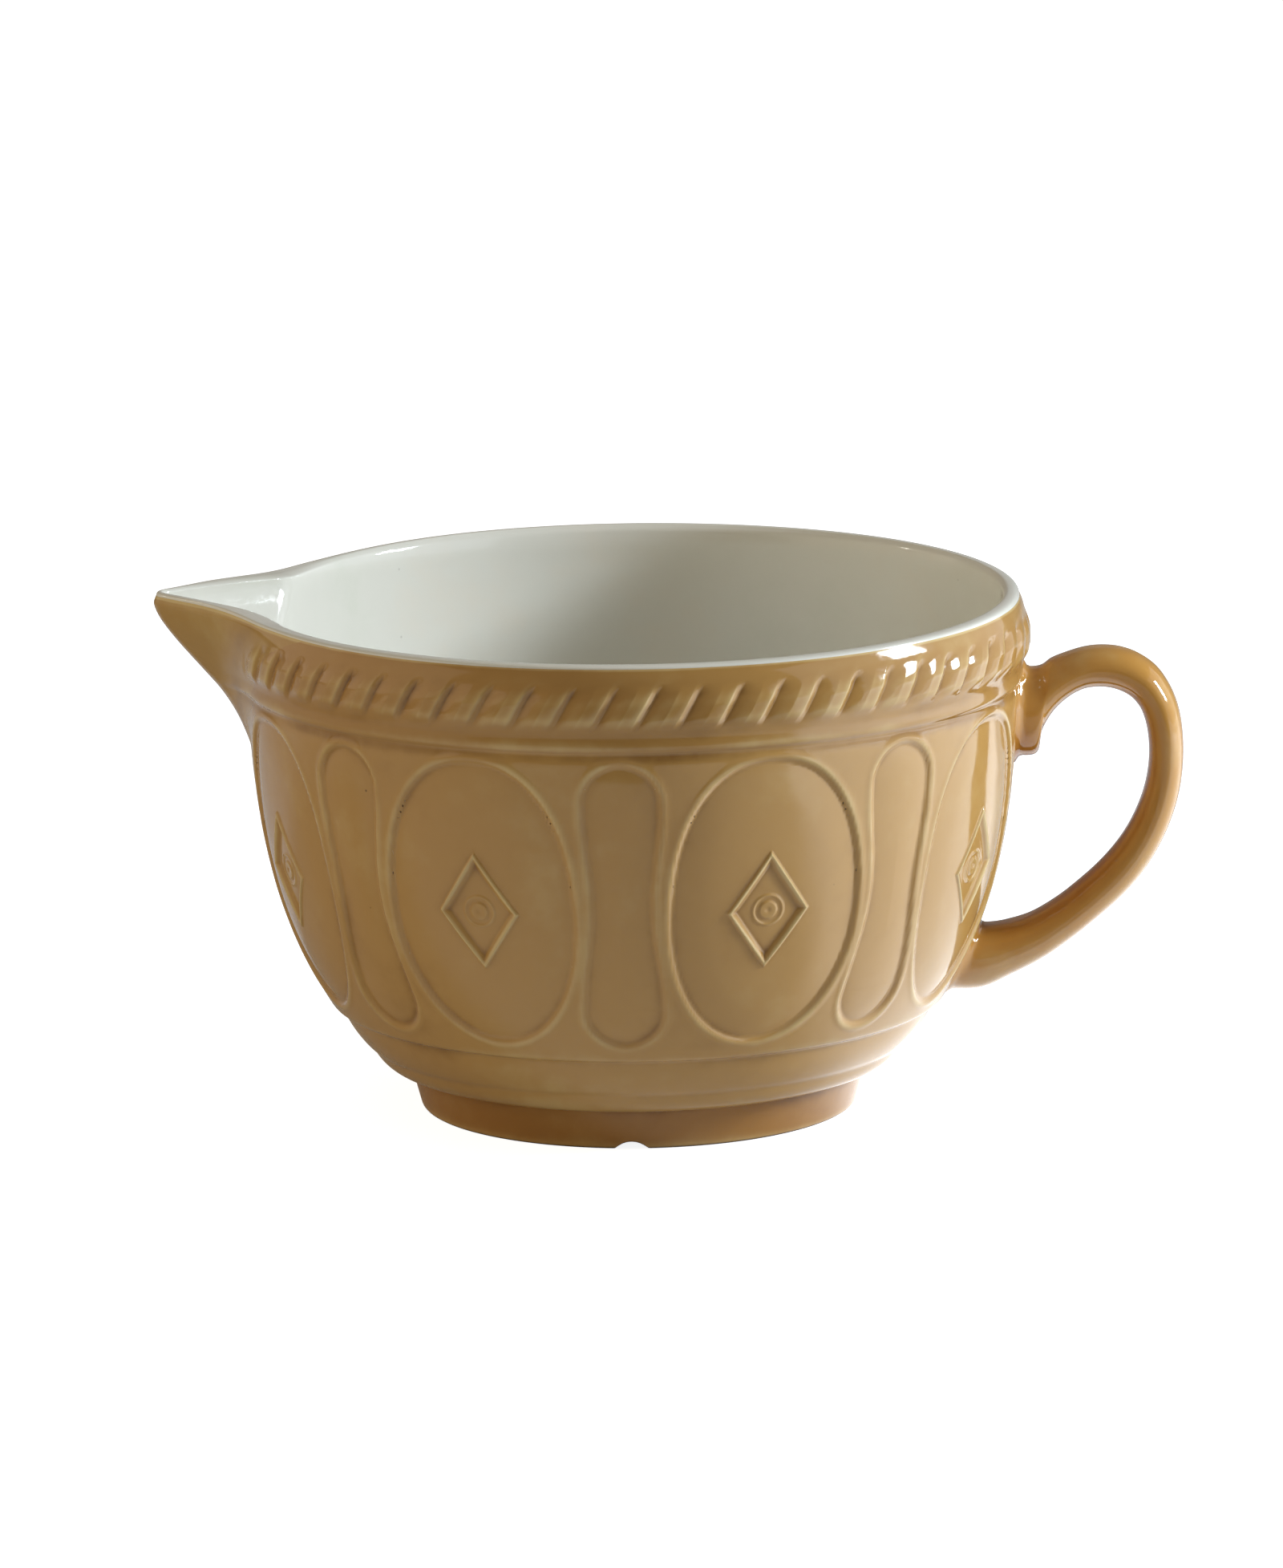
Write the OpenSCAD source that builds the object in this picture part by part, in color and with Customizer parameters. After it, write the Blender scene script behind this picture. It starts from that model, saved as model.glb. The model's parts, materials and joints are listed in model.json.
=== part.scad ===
/* [Bowl] */
// Height of the bowl from the table to the top of its rim
bowl_h = 149.8; // [120:0.1:180]
// Outside radius of the wall at the neck, just under the moulded bead
neck_r = 111.1; // [98:0.1:122]
// Thickness of the wall at the rim, with its glaze
wall_t = 6; // [4.5:0.1:8]
// Height of the white rounded lip above the coloured glaze
lip_h = 2.4; // [1.5:0.1:3.5]
// Height of the inside floor above the table
floor_z = 20; // [18:0.5:26]
// Thickness of the white lining glaze
glaze_t = 0.8; // [0.4:0.1:1.2]

/* [Wall curve] */
// Height of the foot of the moulded wall above the table
wall_foot_z = 31.2; // [26:0.1:36]
// How far the wall leans out evenly over its height
wall_lean = 6.3; // [4:0.1:9]
// How far the wall draws in at its foot beyond that lean
wall_bow = 16.6; // [12:0.1:19]

/* [Foot] */
// Radius of the foot where it meets the table
foot_r = 63.1; // [58:0.1:68]
// Height of the foot ring
foot_h = 12.2; // [10:0.1:14]
// How far the foot ring flares out over its height
foot_flare = 3; // [1:0.1:5]
// Width of the foot ring that the bowl stands on
foot_ring_w = 7.5; // [5:0.1:10]
// Depth of the hollow under the floor, inside the foot ring
foot_hollow = 7; // [4:0.1:9]
// Rounding of the edges of the foot ring
foot_edge = 0.9; // [0.5:0.1:1.5]
// Width of the drain notch in the foot ring
notch_w = 9.5; // [6:0.1:12]
// Height of the drain notch
notch_h = 2.3; // [1.5:0.1:3]

/* [Turned steps] */
// Radius at the top of the lower roll
roll_r = 77.5; // [75:0.1:79]
// Height of the top of the lower roll above the foot ring
roll_h = 7; // [6:0.1:8]
// How far the lower roll bulges
roll_bulge = 2.3; // [1:0.1:2.5]
// Width of the step above the lower roll
roll_step = 0.9; // [0.4:0.1:1.4]
// How far the band above the roll bulges
band_bulge = 0.7; // [0.3:0.1:1.2]
// Width of the step above that band, under the moulded wall
band_step = 2.2; // [1:0.1:2.8]

/* [Rope collar] */
// Height of the bead under the rope
bead_h = 5; // [3:0.1:6]
// How far the bead stands out from the neck
bead_out = 1.1; // [0.6:0.1:1.6]
// Height of the rope band from the bead to the plain band
rope_h = 14.8; // [13:0.1:17]
// How far the edges of the rope band stand out from the neck
rope_edge_out = 0.7; // [0.4:0.1:1]
// How far the middle of the rope band stands out beyond its edges
rope_swell = 1.7; // [1:0.1:2.4]
// Depth of the seat that the collar is let into, under the neck radius
collar_seat = 1.6; // [1:0.1:2]
// Number of rope strands round the bowl
rope_strands = 60; // [48:2:72]
// Slant of the rope strands from upright
rope_slant = 28; // [20:1:45]
// Depth of the valleys between the strands
rope_valley = 1.5; // [0.8:0.1:2]
// Height of the plain band from the rope to the lip
plain_h = 4; // [2.5:0.1:6]
// How far the plain band draws in from the rope to the lip
plain_draw = 0.8; // [0:0.1:1.2]

/* [Moulded panels] */
// Number of oval panels, with a waisted panel between each two
panels = 8; // [6:1:8]
// Depth of each panel's face below the wall
panel_sink = 0.9; // [0.5:0.1:1.3]
// Thickness of each panel
panel_t = 1.8; // [1.2:0.1:2.2]
// Gap on the wall between the panels' lower ends and the wall's foot
panel_foot_gap = 5; // [3:0.1:8]
// Gap on the wall between the panels' upper ends and the neck
panel_head_gap = 3.2; // [2:0.1:6]
// Width of the land between an oval and a waisted panel, halfway up
land_w = 4.4; // [3:0.1:7]
// Width of a waisted panel at its top lobe
waisted_w = 22.4; // [18:0.1:23]
// Width of a waisted panel at its waist
waist_w = 17.4; // [14:0.1:18]

/* [Lozenges] */
// Width of the raised lozenge in each oval
lozenge_w = 24.5; // [18:0.5:28]
// Height of the raised lozenge
lozenge_h = 35.5; // [26:0.5:40]
// How far the lozenge's middle lies below the middle of its oval
lozenge_drop = 1.9; // [0:0.1:4]
// Width of the lozenge's frame
lozenge_rib = 2.4; // [1.6:0.1:3]
// How far the frame stands up from the panel
lozenge_out = 0.9; // [0.5:0.1:1.2]
// Outer radius of the fine ring inside the lozenge
ring_r = 5.1; // [3.6:0.1:5.6]
// Width of that fine ring
ring_w = 0.9; // [0.6:0.1:1.2]
// Radius of the button in the middle of the ring
button_r = 2.8; // [2:0.1:3]
// Radius of the dimple in the button
dimple_r = 1.1; // [0.6:0.1:1.4]
// How far the ring and the button stand up from the panel
ring_out = 0.5; // [0.3:0.1:0.8]

/* [Spout] */
// How far the tip of the spout stands out from the neck
spout_out = 26.8; // [20:0.1:32]
// Half of the angle between the two sides of the spout
spout_half_angle = 46; // [40:1:50]
// Radius of the spout's rounded tip
spout_tip_r = 6.2; // [4:0.1:8]
// Height of the spout from its root inside the wall to the lip
spout_h = 37.6; // [30:0.1:44]
// How far the tip draws in under a straight underside
spout_tuck = 4; // [0:0.1:6]
// Thickness of the spout's sides, with their glaze
spout_t = 5; // [4:0.1:6]

/* [Handle] */
// How far the outer edge of the handle stands out from the neck
handle_out = 46.4; // [40:0.1:56]
// How far the top of the handle lies below the lip
handle_drop = 15.1; // [11:0.1:22]
// Height of the handle from its lowest point to its top
handle_h = 103; // [92:0.5:106]
// Width of the handle across the grip
grip_w = 20; // [16:0.5:26]
// Width of the handle where it spreads on to the wall
root_w = 25; // [20:0.5:30]
// How far the handle's ends run inside the wall before they are cut to it
root_sink = 3; // [2:0.5:4]

/* [Hidden] */

// Colours of the glazes
cane = [0.72, 0.58, 0.37];
cane_dark = [0.62, 0.46, 0.26];
cane_pale = [0.79, 0.67, 0.47];
white_glaze = [0.86, 0.87, 0.83];

// How far a cut runs past what it cuts
overrun = 2;
// Bare clay shows in the hollow of the foot, so the ring and the body meet at this radius
hollow_r = foot_r - foot_ring_w;
foot_top_r = foot_r + foot_flare;
lip_z = bowl_h - lip_h;
collar_top_z = lip_z - plain_h;
rope_z = collar_top_z - rope_h;
neck_z = rope_z - bead_h;
wall_h = neck_z - wall_foot_z;
collar_seat_r = neck_r - collar_seat;
rope_edge_r = neck_r + rope_edge_out;
rope_r = rope_edge_r + rope_swell;
lip_outer_r = rope_edge_r - plain_draw;
inner_r = neck_r - wall_t;
inner_depth = lip_z - floor_z;

// Radius of the moulded wall at height z, which runs on straight above the neck
wall_power = 3.1;
function rise_left(z) = max(0, 1 - (z - wall_foot_z) / wall_h);
function wall_r(z) = neck_r - wall_lean * rise_left(z) - wall_bow * pow(rise_left(z), wall_power);

// Outlines are lists of radius and height points
curve_steps = 16;
function wall_points(out, z_low, z_high) =
    [for (i = [0 : curve_steps]) let (z = z_low + (z_high - z_low) * i / curve_steps) [wall_r(z) + out, z]];

// A shallow arc from a to b that stands out by bulge on its right-hand side, without point a
function arc_points(a, b, bulge, steps) =
    let (d = b - a, along = norm(d), side = [d[1], -d[0]] / along)
    [for (i = [1 : steps]) let (t = i / steps) a + d * t + side * (4 * t * (1 - t) * bulge)];

// The lower roll and the band above it, from the foot ring to the foot of the moulded wall
arc_steps = 6;
step_rise_share = 0.3;
step_rise = step_rise_share * roll_step;
roll_top = [roll_r, foot_h + roll_h];
roll_ledge = roll_top + [roll_step, step_rise];
band_top = [wall_r(wall_foot_z) - band_step, wall_foot_z - step_rise];
lower_points = concat([[foot_top_r, foot_h]],
                      arc_points([foot_top_r, foot_h], roll_top, roll_bulge, arc_steps),
                      [roll_ledge],
                      arc_points(roll_ledge, band_top, band_bulge, arc_steps));

// The inside of the bowl is a quarter of a superellipse, grown outwards by grow
inside_radius_power = 4.9;
inside_height_power = 2.2;
inside_steps = 20;
function inside_points(grow) =
    [for (i = [0 : inside_steps]) let (a = 90 * i / inside_steps)
        [(inner_r + grow) * pow(sin(a), 2 / inside_radius_power),
         lip_z - (inner_depth + grow) * pow(cos(a), 2 / inside_height_power)]];

// Shapes on the wall stand at these turns about the axis
panel_turn = 360 / panels;
notch_turn = -90;
spout_turn = 180;

module revolve(points) {
    rotate_extrude($fn = 180) polygon(points);
}

// The whole bowl as one block, filled inside, with the seat of the collar cut back
module filled_body() {
    revolve(concat([[0, foot_hollow], [hollow_r, foot_hollow], [hollow_r, foot_h]],
                   lower_points,
                   wall_points(0, wall_foot_z, neck_z),
                   [[collar_seat_r, neck_z], [collar_seat_r, collar_top_z],
                    [rope_edge_r, collar_top_z], [lip_outer_r, lip_z], [0, lip_z]]));
}

// A plain block that goes on upwards from the body, to cut past its top
module above_body() {
    translate([0, 0, lip_z - overrun]) cylinder(h = bowl_h, r = lip_outer_r, $fn = 180);
}

// The space inside the bowl, open at the top
module inside_space(grow) {
    revolve(concat(inside_points(grow), [[inner_r + grow, bowl_h + overrun], [0, bowl_h + overrun]]));
}

// The collar's section: a bead, a fine groove and the swelling rope band
module collar_block() {
    revolve(concat([[collar_seat_r, neck_z], [neck_r, neck_z]],
                   arc_points([neck_r, neck_z], [rope_edge_r, rope_z], bead_out, arc_steps),
                   arc_points([rope_edge_r, rope_z], [rope_edge_r, collar_top_z], rope_swell, curve_steps),
                   [[collar_seat_r, collar_top_z]]));
}

// One valley between two strands, a slanted groove that fades out at both ends
module rope_valley_cut() {
    valley_half_w = 2 * rope_valley;
    translate([rope_r, 0, rope_z + rope_h / 2]) rotate([-rope_slant, 0, 0])
        linear_extrude(height = 2 * rope_h, center = true)
            polygon([[-rope_valley, 0], [overrun, -valley_half_w], [overrun, valley_half_w]]);
}

// The panels fill the wall between their two gaps
panel_h = wall_h - panel_foot_gap - panel_head_gap;
panel_mid_z = wall_foot_z + panel_foot_gap + panel_h / 2;
lozenge_z = panel_mid_z - lozenge_drop;

// An oval fills what the waisted panels and the lands leave of the wall, halfway up
panel_mid_r = wall_r(panel_mid_z);
waist_turn = asin(waist_w / 2 / panel_mid_r);
land_turn = 2 * asin(land_w / 2 / panel_mid_r);
oval_w = 2 * panel_mid_r * sin(panel_turn / 2 - waist_turn - land_turn);

// Half width of an oval at share s of its half height, fuller above its middle than below
function oval_power(s) = s > 0 ? 2.25 : 2;
function oval_half_w(s) = oval_w / 2 * pow(1 - pow(abs(s), oval_power(s)), 1 / oval_power(s));

// Corner angles of an outline, close together at both ends
outline_steps = 20;
outline_turns = [for (i = [0 : outline_steps]) -90 + 180 * i / outline_steps];

module oval_outline() {
    side = [for (a = outline_turns) [oval_half_w(sin(a)), sin(a) * panel_h / 2]];
    polygon(concat(side, [for (i = [outline_steps - 1 : -1 : 1]) [-side[i][0], side[i][1]]]));
}

// A waisted panel has a half-round lobe at each end and draws in smoothly between the lobes
lobe_r = waisted_w / 2;
lobe_centre = panel_h / 2 - lobe_r;
function waist_half_w(y) = lobe_r - (waisted_w - waist_w) / 2 * (1 + cos(180 * y / lobe_centre)) / 2;

module waisted_outline() {
    lobe_steps = 9;
    top = [for (i = [0 : lobe_steps]) let (a = 180 * i / lobe_steps)
        [lobe_r * cos(a), lobe_centre + lobe_r * sin(a)]];
    flank = [for (i = [1 : curve_steps - 1]) let (y = lobe_centre * (1 - 2 * i / curve_steps)) [waist_half_w(y), y]];
    polygon(concat(top, [for (p = flank) [-p[0], p[1]]], [for (p = top) -p],
                   [for (p = flank) [waist_half_w(p[1]), -p[1]]]));
}

// A block that runs outwards through the wall at the given turn, with its outline's middle at mid_z
module through_wall(turn, mid_z) {
    rotate([0, 0, turn]) translate([foot_r, 0, mid_z]) rotate([90, 0, 90])
        linear_extrude(height = neck_r - foot_r + overrun) children();
}

// A skin of the wall between two depths, from_out and to_out, measured outwards from the wall's face
module wall_skin(from_out, to_out) {
    face = wall_points(to_out, wall_foot_z, neck_z);
    back = wall_points(from_out, wall_foot_z, neck_z);
    revolve(concat(face, [for (i = [curve_steps : -1 : 0]) back[i]]));
}

// Everything that the children cover on the wall, between two depths
module on_wall(from_out, to_out) {
    intersection() {
        wall_skin(from_out, to_out);
        union() children();
    }
}

module oval_blocks() {
    for (i = [0 : panels - 1]) through_wall((i + 0.5) * panel_turn, panel_mid_z) oval_outline();
}

// The waisted panel under the spout ends where the spout's clay begins
module waisted_blocks() {
    difference() {
        for (i = [0 : panels - 1]) through_wall(i * panel_turn, panel_mid_z) waisted_outline();
        spout_block(0);
    }
}

// What the handle sits on: the body with the face of the waisted panel behind it
module handle_seat() {
    difference() {
        filled_body();
        on_wall(-panel_sink, overrun) through_wall(0, panel_mid_z) waisted_outline();
    }
}

// Plan of the spout: a rounded tip, two straight sides and a back inside the bowl
tip_steps = 8;
spout_reach = neck_r + spout_out;
tip_centre = spout_reach - spout_tip_r;
tip_turn = 90 - spout_half_angle;
throat_share = 1.7;
throat_x = neck_r - throat_share * spout_t;
throat_back_x = inner_r - 2 * spout_t;
function side_w(x, tip_r) =
    (tip_centre + tip_r / sin(spout_half_angle) - x) * tan(spout_half_angle);
function plan_points(tip_r) = concat(
    [for (i = [0 : tip_steps]) let (a = -tip_turn + 2 * tip_turn * i / tip_steps)
        [tip_centre + tip_r * cos(a), tip_r * sin(a)]],
    [[throat_x, side_w(throat_x, tip_r)],
     [throat_back_x, side_w(throat_x, tip_r) * throat_back_x / throat_x],
     [throat_back_x, -side_w(throat_x, tip_r) * throat_back_x / throat_x],
     [throat_x, -side_w(throat_x, tip_r)]]);

// The underside runs straight from the spout's root, inside the wall, and tucks in under the tip
spout_root_x = neck_r - spout_t / 2;
spout_root_z = lip_z - spout_h;
spout_tuck_share = 0.74;
under_angle = atan2(spout_h, spout_reach + spout_tuck - spout_root_x);
channel_rise = spout_t / cos(under_angle) - wall_t * tan(under_angle);

// A pointed cone under that plan, from its root up past the lip by above
leaf_share = 0.1;
leaf = leaf_share * glaze_t;
root_point_share = 0.125;
module spout_cone(tip_r, root_x, root_rise, above) {
    tuck_z = spout_root_z + root_rise + (spout_h - root_rise) * spout_tuck_share;
    tuck_plan_share = (spout_reach + spout_tuck - root_x) / (spout_reach - root_x) * spout_tuck_share;
    rotate([0, 0, spout_turn]) hull() {
        translate([root_x, 0, spout_root_z + root_rise]) sphere(r = root_point_share * tip_r, $fn = 16);
        translate([root_x, 0, tuck_z]) scale(tuck_plan_share) translate([-root_x, 0, 0])
            linear_extrude(height = leaf) polygon(plan_points(tip_r));
        translate([0, 0, lip_z - leaf]) linear_extrude(height = leaf + above) polygon(plan_points(tip_r));
    }
}

module spout_block(above) {
    spout_cone(spout_tip_r, spout_root_x, 0, above);
}

// The open channel of the spout, grown by the thickness of its glaze
module spout_channel(grow) {
    spout_cone(spout_tip_r - spout_t + grow, spout_root_x - wall_t, channel_rise - grow, bowl_h);
}

// Outer and inner edges of the handle, seen from its side, as shares of how far it stands out from
// the neck and of its height
outer_edge_shares = [
    [0.10, 0.943], [0.19, 0.966], [0.29, 0.983], [0.395, 0.996], [0.50, 1.0], [0.61, 0.995],
    [0.72, 0.977], [0.83, 0.942], [0.91, 0.893], [0.965, 0.835], [0.993, 0.770], [1.0, 0.70],
    [0.99, 0.632], [0.963, 0.567], [0.915, 0.50], [0.848, 0.434], [0.757, 0.368], [0.635, 0.303],
    [0.49, 0.243], [0.325, 0.182], [0.13, 0.120], [-0.07, 0.073], [-0.27, 0.035]];
inner_edge_shares = [
    [0.085, 0.700], [0.125, 0.765], [0.19, 0.818], [0.28, 0.858], [0.38, 0.883], [0.485, 0.889],
    [0.58, 0.882], [0.665, 0.863], [0.725, 0.833], [0.760, 0.796], [0.780, 0.752], [0.787, 0.70],
    [0.777, 0.645], [0.750, 0.590], [0.705, 0.535], [0.645, 0.482], [0.565, 0.430], [0.465, 0.380],
    [0.350, 0.333], [0.215, 0.285], [0.06, 0.243], [-0.08, 0.222], [-0.20, 0.213]];
last_edge = len(outer_edge_shares) - 1;
handle_foot_z = lip_z - handle_drop - handle_h;
function edge_point(share) = [neck_r + handle_out * share[0], handle_foot_z + handle_h * share[1]];
function sunk_point(p) = [wall_r(p[1]) - root_sink, p[1]];

// The handle's rings run from inside the wall at its upper root to inside the wall at its lower root
handle_outer = concat([sunk_point(edge_point(outer_edge_shares[0]))],
                      [for (s = outer_edge_shares) edge_point(s)],
                      [sunk_point(edge_point(outer_edge_shares[last_edge]))]);
handle_inner = concat([sunk_point(edge_point(inner_edge_shares[0]))],
                      [for (s = inner_edge_shares) edge_point(s)],
                      [sunk_point(edge_point(inner_edge_shares[last_edge]))]);
last_ring = len(handle_outer) - 1;
ring_sides = 20;
section_power_share = 0.85;
function soften(v) = sign(v) * pow(abs(v), section_power_share);

// The width grows towards both roots
function ring_half_w(i) = (grip_w + (root_w - grip_w) * pow(abs(2 * i / last_ring - 1), 4)) / 2;
function handle_ring(i) =
    let (mid = (handle_outer[i] + handle_inner[i]) / 2, arm = (handle_outer[i] - handle_inner[i]) / 2)
    [for (k = [0 : ring_sides - 1]) let (a = 360 * k / ring_sides, p = mid + arm * soften(cos(a)))
        [p[0], ring_half_w(i) * soften(sin(a)), p[1]]];
handle_points = [for (i = [0 : last_ring]) each handle_ring(i)];
handle_faces = concat(
    [for (i = [0 : last_ring - 1], k = [0 : ring_sides - 1])
        let (n = (k + 1) % ring_sides, a = i * ring_sides, b = a + ring_sides) each
        [[a + k, b + k, b + n], [a + k, b + n, a + n]]],
    [[for (k = [0 : ring_sides - 1]) k],
     [for (k = [ring_sides - 1 : -1 : 0]) last_ring * ring_sides + k]]);

module foot_ring() {
    notch_r = notch_w * notch_w / (8 * notch_h) + notch_h / 2;
    color(cane_dark) difference() {
        revolve(concat([[hollow_r, foot_h], [hollow_r, foot_edge], [hollow_r + foot_edge, 0]],
                       [[foot_r - foot_edge, 0], [foot_r - foot_edge / 3, foot_edge / 3], [foot_r, foot_edge]],
                       [[foot_top_r, foot_h]]));
        rotate([0, 0, notch_turn]) translate([hollow_r - overrun, 0, notch_h - notch_r]) rotate([0, 90, 0])
            cylinder(h = foot_ring_w + 2 * overrun, r = notch_r, $fn = 64);
    }
}

module bowl_body() {
    color(cane) difference() {
        filled_body();
        inside_space(glaze_t);
        spout_channel(glaze_t);
        on_wall(-panel_sink - panel_t, overrun) {
            oval_blocks();
            waisted_blocks();
        }
    }
}

module rope_collar() {
    color(cane_pale) difference() {
        collar_block();
        for (i = [0 : rope_strands - 1]) rotate([0, 0, (i + 0.5) * 360 / rope_strands]) rope_valley_cut();
        spout_block(0);
    }
}

module rim_lip() {
    lip_mid_r = (inner_r + lip_outer_r) / 2;
    lip_half_w = (lip_outer_r - inner_r) / 2;
    lip_steps = 10;
    color(white_glaze) difference() {
        revolve([for (i = [0 : lip_steps]) let (a = 180 * i / lip_steps)
            [lip_mid_r + lip_half_w * cos(a), lip_z + lip_h * sin(a)]]);
        spout_block(bowl_h);
    }
}

module spout() {
    color(cane) difference() {
        spout_block(0);
        spout_channel(glaze_t);
        filled_body();
        above_body();
    }
}

module handle() {
    color(cane_pale) difference() {
        polyhedron(points = handle_points, faces = handle_faces);
        handle_seat();
        collar_block();
    }
}

module inner_glaze() {
    color(white_glaze) difference() {
        intersection() {
            inside_space(glaze_t);
            cylinder(h = lip_z, r = neck_r, $fn = 180);
        }
        inside_space(0);
        spout_channel(glaze_t);
    }
}

module spout_glaze() {
    color(white_glaze) {
        difference() {
            spout_channel(glaze_t);
            spout_channel(0);
            inside_space(0);
            translate([0, 0, lip_z]) cylinder(h = bowl_h, r = spout_reach, $fn = 180);
        }
        difference() {
            intersection() {
                spout_block(lip_h);
                translate([0, 0, lip_z]) cylinder(h = lip_h, r = spout_reach + overrun, $fn = 180);
            }
            spout_channel(0);
            inside_space(0);
        }
    }
}

module oval_panels() {
    color(cane_pale) on_wall(-panel_sink - panel_t, -panel_sink) oval_blocks();
}

module waisted_panels() {
    color(cane_dark) on_wall(-panel_sink - panel_t, -panel_sink) waisted_blocks();
}

module lozenge_outline(inset) {
    half_w = lozenge_w / 2 - inset * norm([lozenge_w, lozenge_h]) / lozenge_h;
    half_h = lozenge_h / 2 - inset * norm([lozenge_w, lozenge_h]) / lozenge_w;
    polygon([[half_w, 0], [0, half_h], [-half_w, 0], [0, -half_h]]);
}

module lozenge_frames() {
    color(cane_dark) on_wall(-panel_sink, lozenge_out - panel_sink)
        for (i = [0 : panels - 1]) through_wall((i + 0.5) * panel_turn, lozenge_z) difference() {
            lozenge_outline(0);
            lozenge_outline(lozenge_rib);
        }
}

module ring_buttons() {
    color(cane) on_wall(-panel_sink, ring_out - panel_sink)
        for (i = [0 : panels - 1]) through_wall((i + 0.5) * panel_turn, lozenge_z) {
            difference() {
                circle(r = ring_r, $fn = 48);
                circle(r = ring_r - ring_w, $fn = 48);
            }
            difference() {
                circle(r = button_r, $fn = 48);
                circle(r = dimple_r, $fn = 24);
            }
        }
}

foot_ring();
bowl_body();
rope_collar();
rim_lip();
spout();
handle();
inner_glaze();
spout_glaze();
oval_panels();
waisted_panels();
lozenge_frames();
ring_buttons();
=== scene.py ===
"""Looks of the batter bowl: its shapes in fine detail, its glazes, and the studio that it stands in.

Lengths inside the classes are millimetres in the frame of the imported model. Meshes are made in metres.
"""

import json
import logging
import math
from dataclasses import dataclass
from enum import Enum
from typing import Callable, Optional, Sequence

import bpy
import numpy as np
from mathutils import Matrix

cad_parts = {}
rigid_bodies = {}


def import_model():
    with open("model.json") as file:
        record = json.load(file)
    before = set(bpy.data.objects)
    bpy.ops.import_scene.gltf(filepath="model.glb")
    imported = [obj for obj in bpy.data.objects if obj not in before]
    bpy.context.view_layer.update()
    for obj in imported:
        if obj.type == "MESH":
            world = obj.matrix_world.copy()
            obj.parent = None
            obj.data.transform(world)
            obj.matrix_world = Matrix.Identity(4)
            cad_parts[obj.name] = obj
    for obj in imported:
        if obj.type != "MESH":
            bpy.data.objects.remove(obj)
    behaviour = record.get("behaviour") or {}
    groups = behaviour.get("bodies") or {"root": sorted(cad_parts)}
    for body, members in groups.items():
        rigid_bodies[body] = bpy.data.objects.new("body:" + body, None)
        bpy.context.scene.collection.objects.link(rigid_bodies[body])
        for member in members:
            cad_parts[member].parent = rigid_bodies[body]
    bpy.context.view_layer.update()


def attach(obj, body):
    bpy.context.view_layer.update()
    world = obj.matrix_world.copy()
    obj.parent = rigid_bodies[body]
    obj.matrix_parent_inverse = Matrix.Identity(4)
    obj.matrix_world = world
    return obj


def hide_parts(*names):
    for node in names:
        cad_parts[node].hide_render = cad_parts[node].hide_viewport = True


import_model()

MM = 0.001
TURN = 2 * math.pi
Array = np.ndarray
log = logging.getLogger("batter_bowl")


class GlazeKind(Enum):
    """The two glazes on the bowl."""

    CANE = "cane"
    WHITE = "white"


# Small helpers for shapes


def ease(value: Array) -> Array:
    """Returns a smooth step from 0 to 1 as value goes from 0 to 1."""
    t = np.clip(value, 0.0, 1.0)
    return t * t * (3.0 - 2.0 * t)


def soft_max(a: Array, b: Array, reach: float | Array) -> Array:
    """Joins two surfaces with a fillet.

    Args:
        a: Radii of the first surface.
        b: Radii of the second surface.
        reach: How far apart the two may be where the fillet begins.

    Returns:
        The larger of the two, with the corner between them filled.
    """
    near = np.clip(reach - np.abs(a - b), 0.0, None) / reach
    return np.maximum(a, b) + near * near * reach / 4.0


def wrap(angle: Array, period: float) -> Array:
    """Returns the angle within half a period of zero."""
    return angle - period * np.round(angle / period)


def arc(a: Sequence[float], b: Sequence[float], bulge: float, steps: int = 24) -> list:
    """Makes an arc that stands out on the right-hand side of its chord.

    Args:
        a: Where the arc starts.
        b: Where it ends.
        bulge: How far it stands out from the chord.
        steps: Number of points.

    Returns:
        The arc's points, without the first.
    """
    ax, ay, bx, by = a[0], a[1], b[0], b[1]
    length = math.hypot(bx - ax, by - ay)
    side = ((by - ay) / length, -(bx - ax) / length)
    out = []
    for i in range(1, steps + 1):
        t = i / steps
        h = 4.0 * t * (1.0 - t) * bulge
        out.append((ax + (bx - ax) * t + side[0] * h, ay + (by - ay) * t + side[1] * h))
    return out


def about_axis(turn: Array, radius: Array, z: Array) -> Array:
    """Returns points from their angle about the axis, radius and height."""
    return np.stack([radius * np.cos(turn), radius * np.sin(turn), z], axis=-1)


def circle(columns: int) -> Array:
    """Returns evenly spaced angles for a full turn."""
    return np.arange(columns) * TURN / columns - math.pi


def grid_faces(rows: int, columns: int, closed: bool = False, keep: Optional[Array] = None) -> Array:
    """Works out the faces of a grid of points.

    Args:
        rows: Number of rows of points.
        columns: Number of points in each row.
        closed: Whether the last column joins the first.
        keep: Which points the piece has, or None for all of them.

    Returns:
        The four corners of each face whose corners are all kept.
    """
    index = np.arange(rows * columns).reshape(rows, columns)
    if closed:
        index = np.concatenate([index, index[:, :1]], axis=1)
    corners = [index[:-1, :-1], index[:-1, 1:], index[1:, 1:], index[1:, :-1]]
    quads = np.stack(corners, axis=-1).reshape(-1, 4)
    return quads if keep is None else quads[keep.reshape(-1)[quads].all(axis=1)]


def triangle_fan(ring: Array, middle: int) -> Array:
    """Returns faces that close a ring of points on one in its middle, with their last corner doubled."""
    centre = np.full(len(ring), middle)
    return np.stack([np.roll(ring, -1), ring, centre, centre], axis=1)


def frame_of(right: Array, up: Array, back: Array, place: Array) -> Matrix:
    """Returns the matrix of an object that looks along the reverse of back."""
    rows = [[right[i], up[i], back[i], place[i]] for i in range(3)]
    return Matrix(rows + [[0.0, 0.0, 0.0, 1.0]])


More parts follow.
